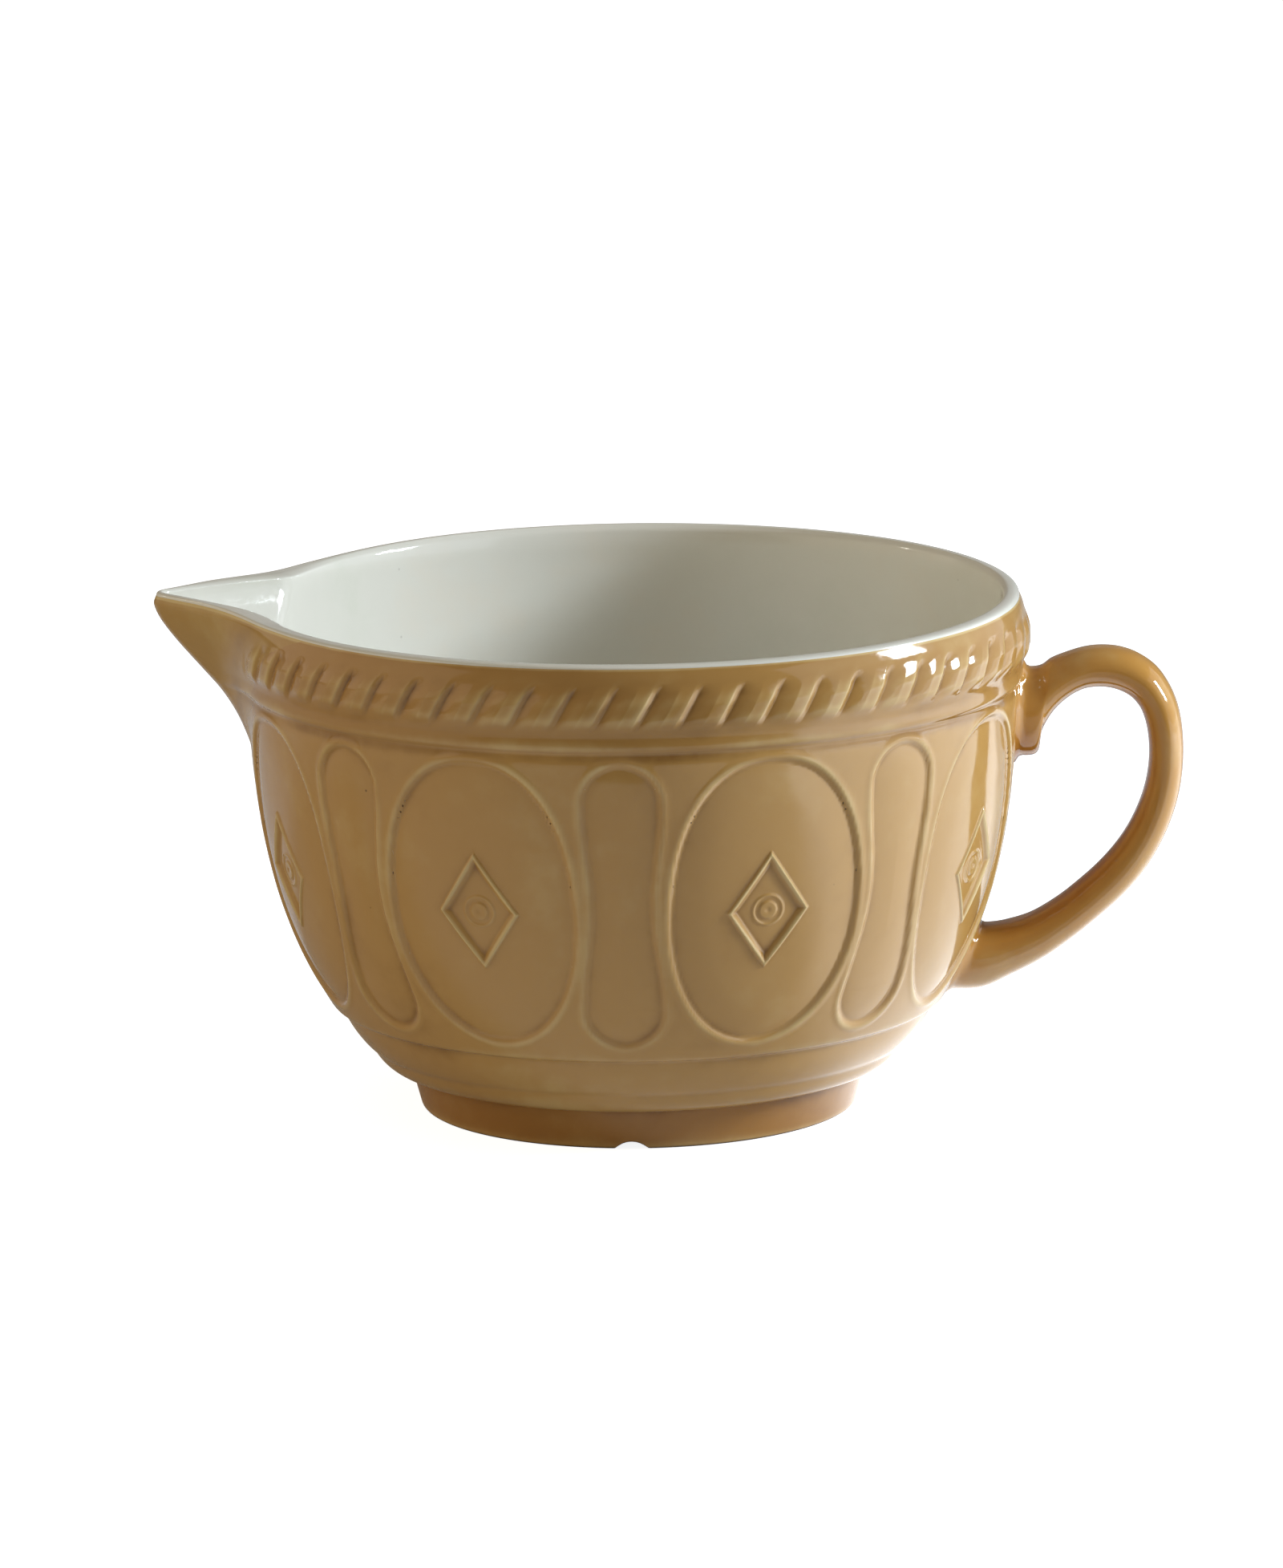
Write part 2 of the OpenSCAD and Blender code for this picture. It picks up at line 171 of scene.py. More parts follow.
def make_mesh(
    name: str, points: Array, faces: Array, normals: Optional[Array], layers: dict[str, Array]
) -> bpy.types.Mesh:
    """Makes a smooth mesh from arrays.

    Args:
        name: Name of the mesh.
        points: Places of the points, in millimetres.
        faces: Corners of the faces, four each, the last two the same on a triangle.
        normals: A normal for each point, or None where Blender works them out.
        layers: Values for each point, by the name of their attribute.

    Returns:
        The mesh, in metres, without the points that no face uses.
    """
    used = np.unique(faces)
    lookup = np.full(len(points), -1)
    lookup[used] = np.arange(len(used))
    corners = [face if face[2] != face[3] else face[:3] for face in lookup[faces].tolist()]
    mesh = bpy.data.meshes.new(name)
    mesh.from_pydata((points[used] * MM).tolist(), [], corners)
    mesh.shade_smooth()
    for layer, values in layers.items():
        attribute = mesh.attributes.new(layer, "FLOAT", "POINT")
        attribute.data.foreach_set("value", values[used].astype(np.float32))
    mesh.update()
    if normals is not None:
        mesh.normals_split_custom_set_from_vertices(normals[used].tolist())
    return mesh


# The form of the bowl


@dataclass(frozen=True)
class BowlForm:
    """Sizes of the turned bowl, the same as in the part's source."""

    height: float = 149.8
    neck_r: float = 111.1
    wall_t: float = 6.0
    lip_h: float = 2.4
    floor_z: float = 20.0
    wall_foot_z: float = 31.2
    wall_h: float = 92.4
    wall_lean: float = 6.3
    wall_bow: float = 16.6
    wall_power: float = 3.1
    foot_r: float = 63.1
    foot_h: float = 12.2
    foot_flare: float = 3.0
    foot_ring_w: float = 7.5
    foot_hollow: float = 7.0
    foot_edge: float = 0.9
    notch_w: float = 9.5
    notch_h: float = 2.3
    roll_r: float = 77.5
    roll_h: float = 7.0
    roll_bulge: float = 2.3
    roll_step: float = 0.9
    step_rise: float = 0.27
    band_bulge: float = 0.7
    band_step: float = 2.2
    bead_h: float = 5.1
    bead_out: float = 0.7
    bead_low: float = 1.5
    shoulder: float = 0.5
    shoulder_h: float = 4.2
    groove_out: float = 0.6
    collar_out: float = 1.35
    collar_mid: float = 135.2
    collar_low_power: float = 2.6
    collar_high_power: float = 3.5
    lip_in: float = 0.55
    glaze_round: float = 0.5
    step_round: float = 1.0
    neck_bulge: float = 0.15
    edge_bulge: float = 0.2
    inner_out_power: float = 4.9
    inner_down_power: float = 2.2
    flare_out: float = 0.9
    flare_low: float = 4.5
    flare_h: float = 6.0
    rim_ease_z: float = 125.0

    @property
    def lip_z(self) -> float:
        """Height where the white lip begins."""
        return self.height - self.lip_h

    @property
    def neck_z(self) -> float:
        """Height of the neck, under the bead."""
        return self.wall_foot_z + self.wall_h

    @property
    def rope_z(self) -> float:
        """Height of the foot of the rope band."""
        return self.neck_z + self.bead_h

    @property
    def inner_r(self) -> float:
        """Radius of the inside at the rim."""
        return self.neck_r - self.wall_t

    def collar_r(self, z: float) -> float:
        """Works out the collar between the bead's foot and the lip.

        Args:
            z: Height.

        Returns:
            The collar's radius at the height.
        """
        top = self.neck_r + self.collar_out
        if z < self.collar_mid:
            share = (self.collar_mid - z) / (self.collar_mid - self.rope_z)
            return top - (self.collar_out - self.groove_out) * share**self.collar_low_power
        share = (z - self.collar_mid) / (self.lip_z - self.collar_mid)
        return top - (self.collar_out + self.lip_in) * share**self.collar_high_power

    def wall_r(self, z: float) -> float:
        """Works out the moulded wall, with the slight draw-in under the neck.

        Args:
            z: Height.

        Returns:
            The wall's radius at the height.
        """
        left = max(0.0, 1.0 - (z - self.wall_foot_z) / self.wall_h)
        top = max(0.0, 1.0 - (self.neck_z - z) / self.shoulder_h)
        bow = self.wall_bow * left**self.wall_power
        return self.neck_r - self.wall_lean * left - bow - self.shoulder * top * top

    def outside(self) -> tuple[list, dict[str, tuple]]:
        """Works out the outside's section from the middle of the hollow foot to the lip.

        Returns:
            The section's points, as radius and height, and its named corners.
        """
        short, wall_steps, collar_steps = 8, 60, 50
        hollow_r = self.foot_r - self.foot_ring_w
        foot_top = (self.foot_r + self.foot_flare, self.foot_h)
        roll_top = (self.roll_r, self.foot_h + self.roll_h)
        ledge = (self.roll_r + self.roll_step, roll_top[1] + self.step_rise)
        wall_foot = (self.wall_r(self.wall_foot_z), self.wall_foot_z)
        band_top = (wall_foot[0] - self.band_step, self.wall_foot_z - self.step_rise)
        rope_foot = (self.collar_r(self.rope_z), self.rope_z)
        neck = (self.wall_r(self.neck_z), self.neck_z)
        crest = (self.neck_r + self.bead_out, self.neck_z + self.bead_low)
        points = [(0.0, self.foot_hollow), (hollow_r, self.foot_hollow), (hollow_r, self.foot_edge)]
        points += [(hollow_r + self.foot_edge, 0.0), (self.foot_r - self.foot_edge, 0.0)]
        points += arc(points[-1], (self.foot_r, self.foot_edge), self.edge_bulge * self.foot_edge, short)
        points += [foot_top] + arc(foot_top, roll_top, self.roll_bulge) + [ledge]
        points += arc(ledge, band_top, self.band_bulge) + [wall_foot]
        points += [(self.wall_r(z), z) for z in np.linspace(self.wall_foot_z, self.neck_z, wall_steps)[1:]]
        points += arc(neck, crest, self.neck_bulge, short) + [rope_foot]
        points += [(self.collar_r(z), z) for z in np.linspace(self.rope_z, self.lip_z, collar_steps)[1:]]
        hollow = (hollow_r, self.foot_hollow)
        return points, {"foot_top": foot_top, "wall_foot": wall_foot, "neck": neck, "hollow": hollow}

    def inside(self) -> list:
        """Works out the inside's section.

        Returns:
            Its points, as radius and height, from the middle of the floor to the rim.
        """
        depth = self.lip_z - self.floor_z
        out, down = 2 / self.inner_out_power, 2 / self.inner_down_power
        points = []
        for a in np.linspace(0.0, math.pi / 2.0, 200):
            z = self.lip_z - depth * max(0.0, math.cos(a)) ** down
            points.append((self.inner_r * math.sin(a) ** out, z))
        return points

    def flare(self, z: Array) -> Array:
        """Returns how far the inside opens out where it rounds over to the rim."""
        return self.flare_out * np.clip((z - self.lip_z + self.flare_low) / self.flare_h, 0.0, 1.2) ** 2


class Section:
    """A section of the bowl, evenly stepped along its length, with its corners rounded as a glaze does."""

    STEP = 0.1
    SURROUNDINGS = 2.2
    STEPS_FROM, STEPS_FROM_H = 11.5, 2.5
    STEPS_TO, STEPS_TO_H = 36.0, 4.0

    def __init__(self, points: Sequence[tuple], rounding: float, soft: float = 0.0) -> None:
        """Rounds and resamples the section.

        Args:
            points: Radius and height of each point.
            rounding: How far the glaze rounds the corners.
            soft: How far it rounds the steps under the wall, or 0 where there are none.
        """
        rough = np.array(points)
        step = self.STEP
        run = np.concatenate([[0.0], np.cumsum(np.hypot(*np.diff(rough, axis=0).T))])
        fine = np.arange(0.0, run[-1] + step / 2, step)
        raw = np.stack([np.interp(fine, run, rough[:, k]) for k in (0, 1)], axis=1)
        self.length = float(fine[-1])
        self.run = fine
        self.line = self._blur(raw, rounding / step)
        if soft:
            low = ease((raw[:, 1] - self.STEPS_FROM) / self.STEPS_FROM_H)
            share = (low * ease((self.STEPS_TO - raw[:, 1]) / self.STEPS_TO_H))[:, None]
            self.line += share * (self._blur(raw, soft / step) - self.line)
        tangent = np.gradient(self.line, step, axis=0)
        tangent /= np.maximum(np.hypot(tangent[:, 0], tangent[:, 1]), 1e-9)[:, None]
        self.normal = np.stack([tangent[:, 1], -tangent[:, 0]], axis=1)
        wide = self._blur(raw, self.SURROUNDINGS / step)
        self.hollow = np.sum((wide - self.line) * self.normal, axis=1)

    @staticmethod
    def _blur(line: Array, width: float) -> Array:
        """Averages a line over a bell, with its ends held.

        Args:
            line: Points of the line.
            width: Width of the bell, in steps of the line.

        Returns:
            The smoothed line.
        """
        reach = int(4 * width) + 1
        kernel = np.exp(-0.5 * (np.arange(-reach, reach + 1) / width) ** 2)
        kernel /= kernel.sum()
        out = np.empty_like(line)
        for k in (0, 1):
            column = line[:, k]
            before = 2 * column[0] - column[1 : reach + 1][::-1]
            after = 2 * column[-1] - column[-reach - 1 : -1][::-1]
            out[:, k] = np.convolve(np.concatenate([before, column, after]), kernel, "valid")
        return out

    def at(self, run: Array) -> tuple[Array, Array]:
        """Returns the radius and height at places along the section."""
        return np.interp(run, self.run, self.line[:, 0]), np.interp(run, self.run, self.line[:, 1])

    def normal_at(self, run: Array) -> tuple[Array, Array]:
        """Returns the outward normal's parts along the radius and the height."""
        return np.interp(run, self.run, self.normal[:, 0]), np.interp(run, self.run, self.normal[:, 1])

    def hollow_at(self, run: Array) -> Array:
        """Returns how far the section lies below its surroundings: positive in corners, negative on edges."""
        return np.interp(run, self.run, self.hollow)

    def nearest(self, corner: tuple) -> float:
        """Returns the place along the section that lies nearest to a corner."""
        return float(self.run[np.argmin(np.hypot(self.line[:, 0] - corner[0], self.line[:, 1] - corner[1]))])

    def run_of_height(self, z: Array, start: float) -> Array:
        """Finds heights on the section.

        Args:
            z: Heights.
            start: Place along the section past which it is looked at.

        Returns:
            The place along the section at each height.
        """
        past = self.run >= start
        return np.interp(z, self.line[past, 1], self.run[past])


@dataclass(frozen=True)
class PanelForm:
    """The moulded ovals, waisted panels, lozenges and buttons on the wall."""

    count: int = 8
    middle_share: float = 0.51
    oval_w: float = 56.5
    oval_h: float = 84.2
    waisted_w: float = 22.4
    waist_w: float = 17.4
    waisted_h: float = 84.2
    sink: float = 0.95
    step_w: float = 2.1
    inset: float = 0.3
    rim: float = 0.2
    oval_crown: float = 0.6
    oval_crown_w: float = 15.0
    waisted_crown: float = 0.6
    waisted_crown_w: float = 10.0
    lozenge_drop: float = 1.9
    lozenge_w: float = 24.8
    lozenge_h: float = 36.2
    rib_w: float = 2.9
    rib_edge: float = 0.75
    rib_out: float = 0.6
    lozenge_sink: float = 0.66
    ring_r: float = 4.4
    ring_out: float = 0.25
    button_r: float = 2.8
    button_out: float = 0.34
    dimple_r: float = 1.1
    oval_top_power: float = 2.25
    oval_low_power: float = 2.0
    step_lead: float = 0.45
    crown_from: float = 0.3
    rim_off: float = 1.35
    rim_w: float = 1.0
    ring_w: float = 0.5
    button_over: float = 0.3
    button_edge: float = 0.9
    dimple_sink: float = 0.22
    least_tilt: float = 0.3

    def local(self, turn: Array, radius: Array, shift: float) -> Array:
        """Measures across the nearest panel.

        Args:
            turn: Angles about the bowl's axis.
            radius: Radius of the wall at each place.
            shift: Share of a panel's turn that the panels are moved by.

        Returns:
            The distance from the panel's middle line.
        """
        period = TURN / self.count
        return radius * np.sin(wrap(turn - shift * period, period))

    def oval_depth(self, x: Array, y: Array, tilt: Array) -> Array:
        """Measures how far inside an oval's outline a place lies.

        Args:
            x: Distance from the panel's middle line.
            y: Height over the panel's middle.
            tilt: Share of a step along the wall that goes upwards.

        Returns:
            The distance from the outline, negative outside it.
        """
        a, b = self.oval_w / 2, self.oval_h / 2
        power = np.where(y > 0, self.oval_top_power, self.oval_low_power)
        u, v = np.abs(x) / a + 1e-6, np.abs(y) / b + 1e-6
        value = 1.0 - u**power - v**power
        slope = np.hypot(power * u ** (power - 1) / a, power * v ** (power - 1) / b * tilt)
        return value / np.maximum(slope, 0.35 / a)

    def waisted_depth(self, x: Array, y: Array, tilt: Array) -> Array:
        """Measures how far inside a waisted panel's outline a place lies.

        Args:
            x: Distance from the panel's middle line.
            y: Height over the panel's middle.
            tilt: Share of a step along the wall that goes upwards.

        Returns:
            The distance from the outline, negative outside it.
        """
        lobe = self.waisted_w / 2
        centre = self.waisted_h / 2 - lobe
        bow = (self.waisted_w - self.waist_w) / 4
        flank = lobe - bow * (1 + np.cos(np.pi * np.clip(y / centre, -1, 1))) - np.abs(x)
        past = np.maximum(np.abs(y) - centre, 0.0)
        end = (lobe - np.hypot(x, past)) / np.where(past > 0, 0.5 + 0.5 * tilt, 1.0)
        return np.where(past > 0, end, flank)

    def lozenge_depth(self, x: Array, y: Array) -> Array:
        """Returns how far inside the lozenge's outline a place lies, negative outside it."""
        a, b = self.lozenge_w / 2, self.lozenge_h / 2
        return (1 - np.abs(x) / a - np.abs(y) / b) * a * b / math.hypot(a, b)

    def sunk(self, depth: Array, crown: float, crown_w: float) -> Array:
        """Works out a panel: a soft step down from a slight rim, then a crowned face.

        Args:
            depth: How far inside its outline each place lies.
            crown: How far the face's middle rises over its edge.
            crown_w: Over what distance it rises.

        Returns:
            The height over the wall.
        """
        depth = depth - self.inset
        step = ease((depth + self.step_lead * self.step_w) / self.step_w)
        rise = 1.0 - (1.0 - np.clip((depth - self.crown_from * self.step_w) / crown_w, 0, 1)) ** 2
        rim = self.rim * np.exp(-(((depth + self.rim_off) / self.rim_w) ** 2))
        return rim - self.sink * step + crown * rise

    def height(self, turn: Array, radius: Array, y: Array, tilt: Array) -> Array:
        """Works out the moulding of the wall.

        Args:
            turn: Angles about the bowl's axis.
            radius: Radius of the wall at each place.
            y: Height over the panels' middle.
            tilt: Share of a step along the wall that goes upwards.

        Returns:
            The height over the wall.
        """
        x_oval = self.local(turn, radius, 0.5)
        x_waisted = self.local(turn, radius, 0.0)
        oval = self.oval_depth(x_oval, y, tilt)
        out = self.sunk(oval, self.oval_crown, self.oval_crown_w)
        out += self.sunk(self.waisted_depth(x_waisted, y, tilt), self.waisted_crown, self.waisted_crown_w)
        along = (y + self.lozenge_drop) / tilt
        frame_depth = self.lozenge_depth(x_oval, along)
        rib = self.rib_out * ease(frame_depth / self.rib_edge)
        inner = ease((frame_depth - self.rib_edge) / (self.rib_w - self.rib_edge))
        floor = -(self.rib_out + self.lozenge_sink) * inner
        away = np.hypot(x_oval, along)
        ring = self.ring_out * np.exp(-(((away - self.ring_r) / self.ring_w) ** 2))
        button = self.button_out * ease((self.button_r + self.button_over - away) / self.button_edge)
        dimple = -self.dimple_sink * np.exp(-((away / (0.75 * self.dimple_r)) ** 2))
        well_inside = oval > 2.0
        return out + np.where(well_inside, rib + floor + ring + button + dimple, 0.0)


@dataclass(frozen=True)
class RopeForm:
    """The rope band: slanted strands with valleys between them."""

    strands: int = 60
    phase: float = 0.21
    slant: float = math.radians(30.0)
    valley: float = 1.1
    left_share: float = 0.17
    right_share: float = 0.62
    low_z: float = 129.6
    high_z: float = 143.7
    rise: float = 1.25
    crown: float = 0.25
    left_power: float = 1.2
    right_power: float = 1.45
    start_share: float = 0.3
    end_share: float = 0.45
    uneven: float = 0.12

    def height(self, turn: Array, radius: Array, z: Array) -> Array:
        """Works out the strands and the valleys between them.

        Args:
            turn: Angles about the bowl's axis.
            radius: Radius of the collar at each place.
            z: Heights.

        Returns:
            The height over the band that carries the rope.
        """
        period = TURN / self.strands
        middle = (self.low_z + self.high_z) / 2
        lean = (z - middle) * math.tan(self.slant) / radius
        strand = (turn - lean) / period - self.phase
        share = strand - np.round(strand)
        number = np.mod(np.floor(strand + 1e-6), self.strands)
        soft = 0.0008
        edge = np.sqrt((0.5 - np.abs(share)) ** 2 + soft)
        half = np.where(share > 0, self.left_share, self.right_share)
        cut = np.clip(1.0 - edge / half, 0.0, 1.0) ** np.where(share > 0, self.left_power, self.right_power)
        up = (z - self.low_z) / (self.high_z - self.low_z)
        body = ease(up / self.start_share) * ease((1.0 - up) / self.end_share)
        fade = ease(up / self.start_share) * ease((1.0 - up) / self.start_share)
        vary = 1.0 + self.uneven * np.sin(2.4 * number + 0.8)
        return self.rise * body - (self.valley * vary * cut + self.crown * (2 * share) ** 2) * fade


@dataclass(frozen=True)
class SpoutForm:
    """The pouring spout: two straight sides, a rounded tip and a keel that rises from the wall."""

    turn: float = math.pi
    half_angle: float = math.radians(46.0)
    channel_angle: float = math.radians(40.5)
    heights: tuple = (90.0, 105.0, 113.9, 121.0, 128.1, 135.2, 141.3, 145.2, 147.4, 152.0)
    reaches: tuple = (92.0, 104.6, 112.0, 118.0, 124.3, 130.6, 135.4, 137.5, 138.0, 138.2)
    tip_round: float = 6.2
    keel_round: float = 13.0
    keel_z: float = 108.0
    keel_h: float = 42.0
    side_t: float = 5.8
    side_thin: float = 2.4
    thin_z: float = 128.0
    thin_h: float = 19.0
    side_round: float = 3.0
    edge_in: float = 1.5
    edge_z: float = 146.3
    edge_h: float = 4.0
    outer_blend: float = 10.0
    inner_blend: float = 2.2
    rim_blend: float = 8.0
    corner_z: float = 141.0
    corner_h: float = 7.0
    corner_side: float = 0.2
    rise: float = 1.6
    rise_end: float = math.radians(24.0)
    rise_fade: float = math.radians(18.0)
    cut: float = 1.2
    smooth_h: float = 2.2

    def reach(self, z: Array) -> Array:
        """Works out the keel on a smooth line through its measured places.

        Args:
            z: Heights.

        Returns:
            How far the keel stands from the bowl's axis.
        """
        shifts = (-1.5, -1.0, -0.5, 0.0, 0.5, 1.0, 1.5)
        weights = np.exp(-0.5 * np.array(shifts) ** 2)
        weights /= weights.sum()
        lines = (np.interp(z + s * self.smooth_h, self.heights, self.reaches) for s in shifts)
        return sum(weight * line for weight, line in zip(weights, lines))

    def away(self, turn: Array) -> Array:
        """Returns the angle between each place and the spout's middle."""
        return np.abs(wrap(turn - self.turn, TURN))

    def edge_rise(self, turn: Array) -> Array:
        """Returns how far the spout lifts the rim."""
        return self.rise * ease((self.rise_end - self.away(turn)) / self.rise_fade)

    def inner_fillet(self, turn: Array, z: Array) -> Array:
        """Returns the reach of the fillet where the channel meets the inside, larger at the near edge."""
        near = ease(-np.sin(turn) / self.corner_side) * ease((z - self.corner_z) / self.corner_h)
        return self.inner_blend + (self.rim_blend - self.inner_blend) * near

    def radius(self, turn: Array, z: Array, inner: bool) -> Array:
        """Works out a side of the spout.

        Args:
            turn: Angles about the bowl's axis.
            z: Heights.
            inner: Whether the channel's side is asked for, and not the outer side.

        Returns:
            The side's distance from the bowl's axis.
        """
        away = self.away(turn)
        low = ease((self.keel_z + self.keel_h - z) / self.keel_h)
        curve = self.tip_round + (self.keel_round - self.tip_round) * low
        reach = self.reach(z)
        half = self.half_angle
        if inner:
            half = self.channel_angle
            reach = reach - self.side_t + self.side_thin * ease((z - self.thin_z) / self.thin_h)
            curve = curve - self.side_round
        else:
            reach = reach - self.edge_in * ease((z - self.edge_z) / self.edge_h)
        side = (reach - curve) * math.sin(half) + curve
        past = away - (math.pi / 2 - half)
        line = side * np.where(past < 0, 1 / np.maximum(np.cos(past), 0.3), np.maximum(np.cos(past), 0.0))
        centre = reach - curve
        inside = np.maximum(curve**2 - (centre * np.sin(away)) ** 2, 0.0)
        tip = centre * np.cos(away) + np.sqrt(inside)
        touch = np.arctan2(curve * math.cos(half), centre + curve * math.sin(half))
        return np.where(away < touch, tip, line)


@dataclass(frozen=True)
class LipForm:
    """The white lip: a round edge that stands highest at the back and lowest at the spout."""

    level: float = 0.68
    back_rise: float = 0.32
    uneven: float = 0.03
    clear: float = 0.03
    sunk: float = 0.1
    side_power: float = 0.85
    top_power: float = 0.8
    beak: float = 0.22
    beak_end: float = math.radians(62.0)
    beak_fade: float = math.radians(40.0)
    lean: float = 0.42
    lean_end: float = math.radians(36.0)
    lean_fade: float = math.radians(14.0)
    tip_end: float = math.radians(1.0)
    tip_fade: float = math.radians(7.0)

    def height_share(self, turn: Array, away: Array) -> Array:
        """Works out how high the lip stands, as a share of its height in the solids.

        Args:
            turn: Angles about the bowl's axis.
            away: Angles from the spout's middle.

        Returns:
            The share at each angle.
        """
        beak = self.beak * ease((self.beak_end - away) / self.beak_fade)
        return self.level + self.back_rise * np.sin(turn) + self.uneven * np.sin(3 * turn + 1.0) - beak

    def crest_power(self, away: Array) -> Array:
        """Returns the power that moves the lip's crest outwards beside the spout."""
        beside = ease((self.lean_end - away) / self.lean_fade) * ease((away - self.tip_end) / self.tip_fade)
        return 1.0 - self.lean * beside


class Skin:
    """The whole surface of the bowl: what each place along a section and round the axis looks like."""

    POOLING, THINNING = 0.26, 0.42
    WALL_CLEAR = 1.5
    SWING = 0.0015

    def __init__(
        self, form: BowlForm, panels: PanelForm, rope: RopeForm, spout: SpoutForm, rim: LipForm
    ) -> None:
        """Works out both sections.

        Args:
            form: Sizes of the turned bowl.
            panels: The moulding on the wall.
            rope: The rope band.
            spout: The spout.
            rim: The lip.
        """
        self.form, self.panels, self.rope, self.spout, self.rim = form, panels, rope, spout, rim
        points, corners = form.outside()
        self.outer = Section(points, form.glaze_round, form.step_round)
        self.inner = Section(form.inside(), form.glaze_round)
        self.mark = {name: self.outer.nearest(corner) for name, corner in corners.items()}
        self.panel_z = form.wall_foot_z + panels.middle_share * form.wall_h

    def waver(self, turn: Array, z: Array) -> Array:
        """Works out how far the clay strays from a true circle.

        Args:
            turn: Angles about the bowl's axis.
            z: Heights.

        Returns:
            The distance, none at the foot and in full from a third of the height.
        """
        squeeze, thirds, ripple = 0.22, 0.12, 0.05
        slow = squeeze * np.sin(2 * turn + 0.6) + thirds * np.sin(3 * turn - z / 45.0)
        return (slow + ripple * np.sin(7 * turn + z / 18.0)) * ease((z - 14.0) / 40.0)

    def tilt(self, run: Array) -> Array:
        """Returns the share of a step along the outside that goes upwards."""
        return np.clip(self.outer.normal_at(run)[0], self.panels.least_tilt, 1.0)

    def relief(self, turn: Array, run: Array) -> Array:
        """Works out all moulding on the outside.

        Args:
            turn: Angles about the bowl's axis.
            run: Places along the outside's section.

        Returns:
            The height over the turned outside.
        """
        radius, z = self.outer.at(run)
        on_wall = (z > self.form.wall_foot_z + self.WALL_CLEAR) & (z < self.form.neck_z)
        on_wall &= run > self.mark["wall_foot"]
        wall = self.panels.height(turn, radius, z - self.panel_z, self.tilt(run))
        rope = self.rope.height(turn, radius, z)
        return np.where(on_wall, wall, 0.0) + np.where(z > self.form.rope_z, rope, 0.0)

    def outside(self, turn: Array, run: Array) -> Array:
        """Works out the outside without the spout.

        Args:
            turn: Angles about the bowl's axis.
            run: Places along the outside's section.

        Returns:
            The place of each point.
        """
        radius, z = self.outer.at(run)
        normal_r, normal_z = self.outer.normal_at(run)
        lift = self.relief(turn, run)
        radius = radius + normal_r * lift + self.waver(turn, z)
        z = z + normal_z * lift
        foot = run < self.mark["foot_top"]
        if foot.any():
            z = np.where(foot, self.notched(turn, radius, z), z)
        return about_axis(turn, radius, z)

    def notched(self, turn: Array, radius: Array, z: Array) -> Array:
        """Raises the foot ring where the drain notch is.

        Args:
            turn: Angles about the bowl's axis.
            radius: Radius of each point.
            z: Height of each point.

        Returns:
            The heights with the notch.
        """
        form, nowhere = self.form, -9.0
        curve = form.notch_w**2 / (8 * form.notch_h) + form.notch_h / 2
        across = radius * np.sin(turn + math.pi / 2)
        facing = np.cos(turn + math.pi / 2) > 0
        arch = form.notch_h - curve + np.sqrt(np.maximum(curve**2 - across**2, 0.0))
        in_ring = facing & (radius > form.foot_r - form.foot_ring_w - 2)
        return soft_max(z, np.where(in_ring, arch, nowhere), form.glaze_round)

    def outside_height_map(self, turn: Array, z: Array) -> Array:
        """Works out the outside with the spout, by height.

        Args:
            turn: Angles about the bowl's axis.
            z: Heights.

        Returns:
            The radius at each place, with the moulding calmed under the spout.
        """
        run = self.outer.run_of_height(z, self.mark["wall_foot"])
        radius, _ = self.outer.at(run)
        spout = self.spout.radius(turn, z, False)
        calm = ease((radius - spout - 1.0) / 6.0)
        lift = self.relief(turn, run) * calm * self.outer.normal_at(run)[0]
        return soft_max(radius + lift + self.waver(turn, z), spout, self.spout.outer_blend)

    def spout_point(self, turn: Array, z: Array) -> Array:
        """Returns places on the outside with the spout, by height."""
        radius = self.outside_height_map(turn, z)
        return about_axis(turn, radius, z)

    def inner_radius(self, turn: Array, radius: Array, z: Array) -> Array:
        """Returns the radius of the inside with the spout's channel."""
        channel = self.spout.radius(turn, z, True)
        return soft_max(radius + self.waver(turn, z), channel, self.spout.inner_fillet(turn, z))

    def inside(self, turn: Array, run: Array) -> Array:
        """Works out the inside with the spout's channel.

        Args:
            turn: Angles about the bowl's axis.
            run: Places along the inside's section.

        Returns:
            The place of each point.
        """
        form, channel_z = self.form, 85.0
        radius, z = self.inner.at(run)
        lifted = z + self.spout.edge_rise(turn) * ease((z - form.rim_ease_z) / (form.lip_z - form.rim_ease_z))
        full = self.inner_radius(turn, radius + form.flare(z), lifted)
        radius = np.where(z > channel_z, full, radius + self.waver(turn, z))
        return about_axis(turn, radius, lifted)

    def lip(self, turn: Array, share: Array) -> Array:
        """Works out the lip.

        Args:
            turn: Angles about the bowl's axis.
            share: Places across the lip, from 0 at the outer edge to 1 at the inner edge.

        Returns:
            The place of each point.
        """
        form, rim, away = self.form, self.rim, self.spout.away(turn)
        edge = form.lip_z + self.spout.edge_rise(turn)
        outer = self.outside_height_map(turn, edge)
        level = float(form.flare(np.array(form.lip_z)))
        inner = self.inner_radius(turn, np.full_like(edge, form.inner_r + level), edge)
        middle, half = (outer + inner) / 2, (outer - inner) / 2
        swing = np.cos(share * math.pi)
        radius = middle + (half - rim.clear) * np.sign(swing) * np.abs(swing) ** rim.side_power
        crest = math.pi * np.abs(share) ** rim.crest_power(away)
        high = form.lip_h * rim.height_share(turn, away)
        z = edge - rim.sunk + (high + rim.sunk) * np.abs(np.sin(crest)) ** rim.top_power
        radius = radius + (form.flare(z - edge + form.lip_z) - level) * ease(4.0 * share - 2.2)
        return about_axis(turn, radius, z)

